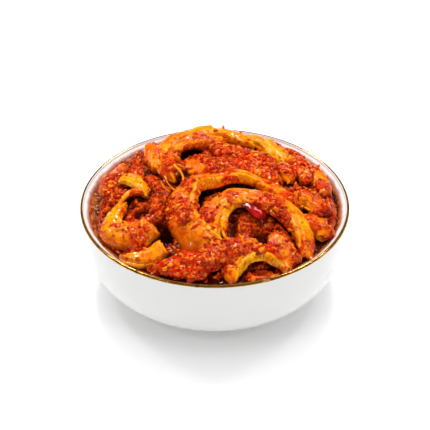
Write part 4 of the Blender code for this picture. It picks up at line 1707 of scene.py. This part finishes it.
@dataclass(frozen=True)
class SpiceKind:
    """One kind of loose spice: its form, how many grains there are, how large they are and how they lie.

    The sizes are pairs in millimetres, one pair for the whole grain or one for each of its three axes: limits
    or, by the skewed law, a middle size and a spread. The lift off the ground is in millimetres or, by the
    skewed law, a share of the grain's thickness. Patch and seed are those of where the kind gathers.
    """

    name: str
    form: tuple[np.ndarray, np.ndarray]
    count: int
    patch: float
    seed: int
    sizes: tuple
    proportions: Triple
    jag: Pair
    lift: float
    lean: float
    finish: SpiceGrit
    law: Law = Law.EVEN
    darkening: float = 1.0

    def strew(self, stock: Stock, chance: np.random.Generator) -> bpy.types.Object:
        """Draws the grains' places, sizes and turns and joins them into one piece.

        Args:
            stock: the places that show.
            chance: the source of random numbers.

        Returns:
            The piece.
        """
        where, normal = stock.draw(self.count, chance, self.patch, self.seed)
        if self.law is Law.SKEWED:
            drawn = [chance.lognormal(math.log(middle), spread, self.count) for middle, spread in self.sizes]
        else:
            drawn = [chance.uniform(low, high, self.count) for low, high in self.sizes]
        size = np.stack(drawn, -1) * np.array(self.proportions) * MM
        jag = chance.uniform(*self.jag, (self.count, len(self.form[0])))
        lift = self.lift * (size[:, 2:] if self.law is Law.SKEWED else MM)
        skin = strewn(self.form, where + normal * lift, basis(normal, chance, self.lean), size, jag)
        shade = chance.uniform(0, 1, self.count) ** self.darkening
        skin.paint["shade"] = np.repeat(shade, len(self.form[0]))
        piece = make_piece(self.name, skin, [self.finish.make()])
        return piece


def spice_kinds() -> tuple[SpiceKind, ...]:
    """What lies loose on the filling: shreds of fruit, masala crumbs, chilli flakes, seeds and specks."""
    return (
        SpiceKind(
            name="fruit_shreds", form=sliver(), count=340, patch=14 * MM, seed=41,
            sizes=((1.0, 2.9), (0.7, 1.6), (0.5, 1.0)), proportions=(1, 1, 1), jag=(0.85, 1.15),
            lift=0.05, lean=0.2, finish=SpiceGrit("fruit_shred", "#9A1A02", "#D24206", "#F48A18", 0.08),
        ),
        SpiceKind(
            name="masala_crumbs", form=ball(0), count=1200, patch=9 * MM, seed=51, law=Law.SKEWED,
            sizes=((0.5, 0.45),), proportions=(1.25, 0.8, 0.55), jag=(0.7, 1.25), lift=0.35, lean=0.8,
            finish=SpiceGrit("masala_crumb", "#861402", "#CC3C06", "#F28422", 0.08), darkening=1.1,
        ),
        SpiceKind(
            name="chilli_flakes", form=ball(1), count=950, patch=7 * MM, seed=61,
            sizes=((0.5, 1.5),), proportions=(1, 0.7, 0.2), jag=(0.85, 1.12), lift=0.15, lean=0.3,
            finish=SpiceGrit("chilli_flake", "#A01404", "#D03604", "#F07412", 0.05),
        ),
        SpiceKind(
            name="chilli_seeds", form=ball(1), count=36, patch=12 * MM, seed=71,
            sizes=((0.55, 0.8),), proportions=(1, 1, 0.7), jag=(0.96, 1.04), lift=0.25, lean=0.5,
            finish=SpiceGrit("chilli_seed", "#C8861E", "#EBAE3C", "#F6CC6E", 0.3),
        ),
        SpiceKind(
            name="black_specks", form=ball(0), count=150, patch=15 * MM, seed=81,
            sizes=((0.20, 0.38),), proportions=(1, 0.85, 0.7), jag=(0.8, 1.2), lift=0.12, lean=0.5,
            finish=SpiceGrit("dark_speck", "#2A0804", "#451006", "#6A1C08", 0.3),
        ),
    )


# ---------------------------------------------------------------- strands


@dataclass(frozen=True)
class Strand:
    """A fibre pulled out between two slices, in millimetres: its ends as (x, y, lift), bulge and radius."""

    start: Triple
    end: Triple
    bulge: float
    radius: float


STRANDS = (
    Strand((-19.5, 15, 3.6), (-15, 0, 3.4), -1.8, 0.60),
    Strand((-23.5, 7, 3.2), (-18.5, -5, 3.8), 0.6, 0.32),
    Strand((-25.5, 4, 3.0), (-21, -5, 3.2), 0.5, 0.28),
    Strand((-18.5, 17, 3.4), (-11.5, 13, 3.2), 0.4, 0.36),
    Strand((2.5, -31, 3.4), (5.5, -39, 2.2), -0.6, 0.42),
    Strand((0, -30, 3.0), (1.5, -38, 2.0), -0.5, 0.34),
    Strand((37, -6, 3.2), (44, -13, 2.8), 0.6, 0.40),
    Strand((44, -4, 3.6), (40, -12, 3.0), -0.5, 0.32),
    Strand((8, 34, 3.0), (14, 30, 2.6), 0.5, 0.60),
)


@dataclass(frozen=True)
class FruitFibres:
    """The strands, joined into one piece."""

    ground: HeapGround
    rows: int = 40
    columns: int = 10
    sag: float = 0.5 * MM
    thick_ends: float = 1.6
    thin_middle: float = 0.8
    knots: Wave = Wave(0.25, 2 * MM)

    def tube(self, strand: Strand, sizes: Measures, seed: int) -> tuple[np.ndarray, list]:
        """A tube along a line that bulges sideways and sags as 1 - (2s - 1)^2, thicker at its ends.

        Args:
            strand: the strand.
            sizes: the bowl's measures.
            seed: picks its knots.

        Returns:
            Its points and its face arrays.
        """
        share = np.linspace(0, 1, self.rows)
        hump = 1 - (2 * share - 1) ** 2
        turn = np.linspace(0, 2 * np.pi, self.columns, endpoint=False)
        ends = np.array([strand.start, strand.end]) * MM
        line = ends[0] + (ends[1] - ends[0]) * share[:, None]
        side = unit(np.array([ends[1, 1] - ends[0, 1], ends[0, 0] - ends[1, 0], 0.0]))
        line = line + side * (strand.bulge * MM * hump)[:, None]
        line[:, 2] += self.ground.height(sizes, line[:, 0], line[:, 1]) - self.sag * hump
        forward = unit(np.gradient(line, axis=0))
        across = unit(np.cross(forward, (0, 0, 1)))
        up = np.cross(across, forward)
        girth = strand.radius * MM * (self.thick_ends - self.thin_middle * hump)
        girth = girth * (1 + self.knots.at(line, seed))
        ring = across[:, None] * np.cos(turn)[None, :, None] + up[:, None] * np.sin(turn)[None, :, None]
        points, faces = closed_tube(line[:, None] + ring * girth[:, None, None], line[0], line[-1])
        return points, outward(points, faces)

    def skin(self, sizes: Measures) -> Skin:
        """Joins the strands' tubes.

        Args:
            sizes: the bowl's measures.

        Returns:
            The skin, with plain flesh at each point.
        """
        tubes = [self.tube(strand, sizes, 300 + number) for number, strand in enumerate(STRANDS)]
        starts = np.cumsum([0] + [len(points) for points, _ in tubes])
        faces = [
            np.concatenate([blocks[k] + start for (_, blocks), start in zip(tubes, starts, strict=False)])
            for k in range(3)
        ]
        paint = {"coat": 0.0, "gold": 0.55, "amber": 0.0, "streak": 0.15, "fibre": 0.3, "deep": 0.0}
        painted = {key: np.full(starts[-1], value) for key, value in paint.items()}
        return Skin(np.concatenate([points for points, _ in tubes]), faces, painted)


# ---------------------------------------------------------------- studio


@dataclass(frozen=True)
class Softbox:
    """A square softbox: its place and side in metres, its power in watts, and whether gloss mirrors it."""

    name: str
    place: Triple
    size: float
    power: float
    glints: bool


ABOVE = Softbox("top_softbox", (0.0, 0.04, 0.90), 0.70, 4.2, False)
BESIDE = (
    Softbox("window", (0.22, 0.50, 0.65), 0.24, 1.0, False),
    Softbox("window_gap", (0.20, 0.48, 0.70), 0.10, 1.35, True),
    Softbox("side_window", (0.45, 0.30, 0.65), 0.15, 0.4, False),
    Softbox("lamp", (0.47, 0.28, 0.65), 0.06, 0.5, True),
    Softbox("front_fill", (0.40, -0.45, 0.65), 0.20, 0.26, False),
    Softbox("front_lamp", (0.42, -0.40, 0.65), 0.05, 0.2, True),
)


@dataclass(frozen=True)
class Studio:
    """The floor, the soft lights and the camera."""

    elevation: float = 37.33
    distance_in_rims: float = 9.0
    aim_height: float = 22.95 * MM
    aim_up: float = 9.54 * MM
    aim_side: float = 0.1 * MM
    lens: float = 99.1
    film_width: float = 36.0
    floor_size: float = 3.0
    room_light: float = 0.31
    mirrored_light: float = 0.02

    def camera(self, sizes: Measures) -> None:
        """Places the camera in front of the bowl, looking down at it.

        Args:
            sizes: the bowl's measures.
        """
        slope = math.radians(self.elevation)
        back = Vector((0, -math.cos(slope), math.sin(slope)))
        upward = Vector((0, math.sin(slope), math.cos(slope)))
        target = Vector((self.aim_side, 0, self.aim_height))
        place = target + back * self.distance_in_rims * sizes.rim_radius
        gaze = (target + upward * self.aim_up - place).normalized()
        side = gaze.cross(Vector((0, 0, 1))).normalized()
        turn = Matrix((side, side.cross(gaze), -gaze)).transposed().to_4x4()
        data = bpy.data.cameras.new("camera")
        data.lens, data.sensor_width, data.clip_start = self.lens, self.film_width, 0.01
        made = bpy.data.objects.new("camera", data)
        made.matrix_world = Matrix.Translation(place) @ turn
        bpy.context.scene.collection.objects.link(made)
        bpy.context.scene.camera = made

    def hang(self, box: Softbox, side: int = 0) -> None:
        """Hangs a softbox that faces the bowl.

        Args:
            box: the softbox.
            side: 1 or -1 for one of a pair, on the right or the left, or 0 for a single one.
        """
        name = f"{box.name}_{side}" if side else box.name
        place = Vector((box.place[0] * side, *box.place[1:]))
        data = bpy.data.lights.new(name, "AREA")
        data.size, data.energy = box.size, box.power
        made = bpy.data.objects.new(name, data)
        made.visible_glossy = box.glints
        toward = (Vector((0, 0, self.aim_height)) - place).to_track_quat("-Z", "Y")
        made.matrix_world = Matrix.Translation(place) @ toward.to_matrix().to_4x4()
        bpy.context.scene.collection.objects.link(made)

    def floor(self) -> None:
        """Lays the pale floor."""
        half = self.floor_size / 2
        corners = [(-half, -half, 0), (half, -half, 0), (half, half, 0), (-half, half, 0)]
        mesh = bpy.data.meshes.new("floor")
        mesh.from_pydata(corners, [], [(0, 1, 2, 3)])
        mesh.materials.append(PaleFloor().make())
        made = bpy.data.objects.new("floor", mesh)
        bpy.context.scene.collection.objects.link(made)

    def world(self) -> None:
        """Fills the room with pale light, which glossy surfaces mirror as if the room were dimmer."""
        world = bpy.data.worlds.new("room")
        bpy.context.scene.world = world
        world.use_nodes = True
        ground = world.node_tree.nodes["Background"]
        ground.inputs["Color"].default_value = (1.0, 1.0, 1.0, 1.0)
        path = world.node_tree.nodes.new("ShaderNodeLightPath")
        strength = world.node_tree.nodes.new("ShaderNodeMapRange")
        strength.inputs["To Min"].default_value = self.room_light
        strength.inputs["To Max"].default_value = self.mirrored_light
        world.node_tree.links.new(path.outputs["Is Glossy Ray"], strength.inputs["Value"])
        world.node_tree.links.new(strength.outputs[0], ground.inputs["Strength"])

    def build(self, sizes: Measures) -> None:
        """Sets up the whole studio."""
        self.camera(sizes)
        self.floor()
        self.world()
        self.hang(ABOVE)
        for side in (-1, 1):
            for box in BESIDE:
                self.hang(box, side)
        bpy.context.scene.view_settings.view_transform = "Standard"


# ---------------------------------------------------------------- the whole


def build_filling(sizes: Measures, wall: float) -> None:
    """Builds the paste, the slices, the oil, the chilli and the spice.

    Args:
        sizes: the bowl's measures.
        wall: the bowl's inner radius at the oil's level.
    """
    ground = HeapGround()
    bed = MasalaBed(ground).skin(sizes, wall)
    piece = make_piece("masala_bed", bed, [MasalaPaste().make()])
    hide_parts("pickle_heap")
    oil = make_piece("oil_pool", OilPool(ground).skin(sizes, wall), [SpicedOil().make()])
    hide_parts("spiced_oil")
    cutter = SliceCutter(ground)
    flesh = FruitFlesh().make()
    skins = [bed]
    for number, cut in enumerate(SLICES):
        skin = cutter.skin(cut, sizes, 100 + 20 * number)
        skins.append(skin)
        piece = make_piece(f"slice_{cut.name}", skin, [flesh])
        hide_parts("pickle_heap")
    fibres = make_piece("fruit_fibres", FruitFibres(ground).skin(sizes), [flesh])
    chilli = make_piece("chilli_strip", cutter.skin(ChilliStrip().cut(), sizes, 77), [ChilliSkin().make()])
    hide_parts("chilli_piece")
    stock, chance = Stock.gather(skins), np.random.default_rng(SPICE_SEED)
    for kind in spice_kinds():
        kind.strew(stock, chance)


def main() -> None:
    """Builds the looks around the frame."""
    logging.basicConfig(level=logging.INFO, format="%(message)s")
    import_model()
    sizes = Measures.from_frame()
    bowl = PorcelainBowl()
    bowl.build(sizes)
    build_filling(sizes, bowl.inner_radius(sizes, sizes.oil_level))
    Studio().build(sizes)


if __name__ == "__main__":
    main()
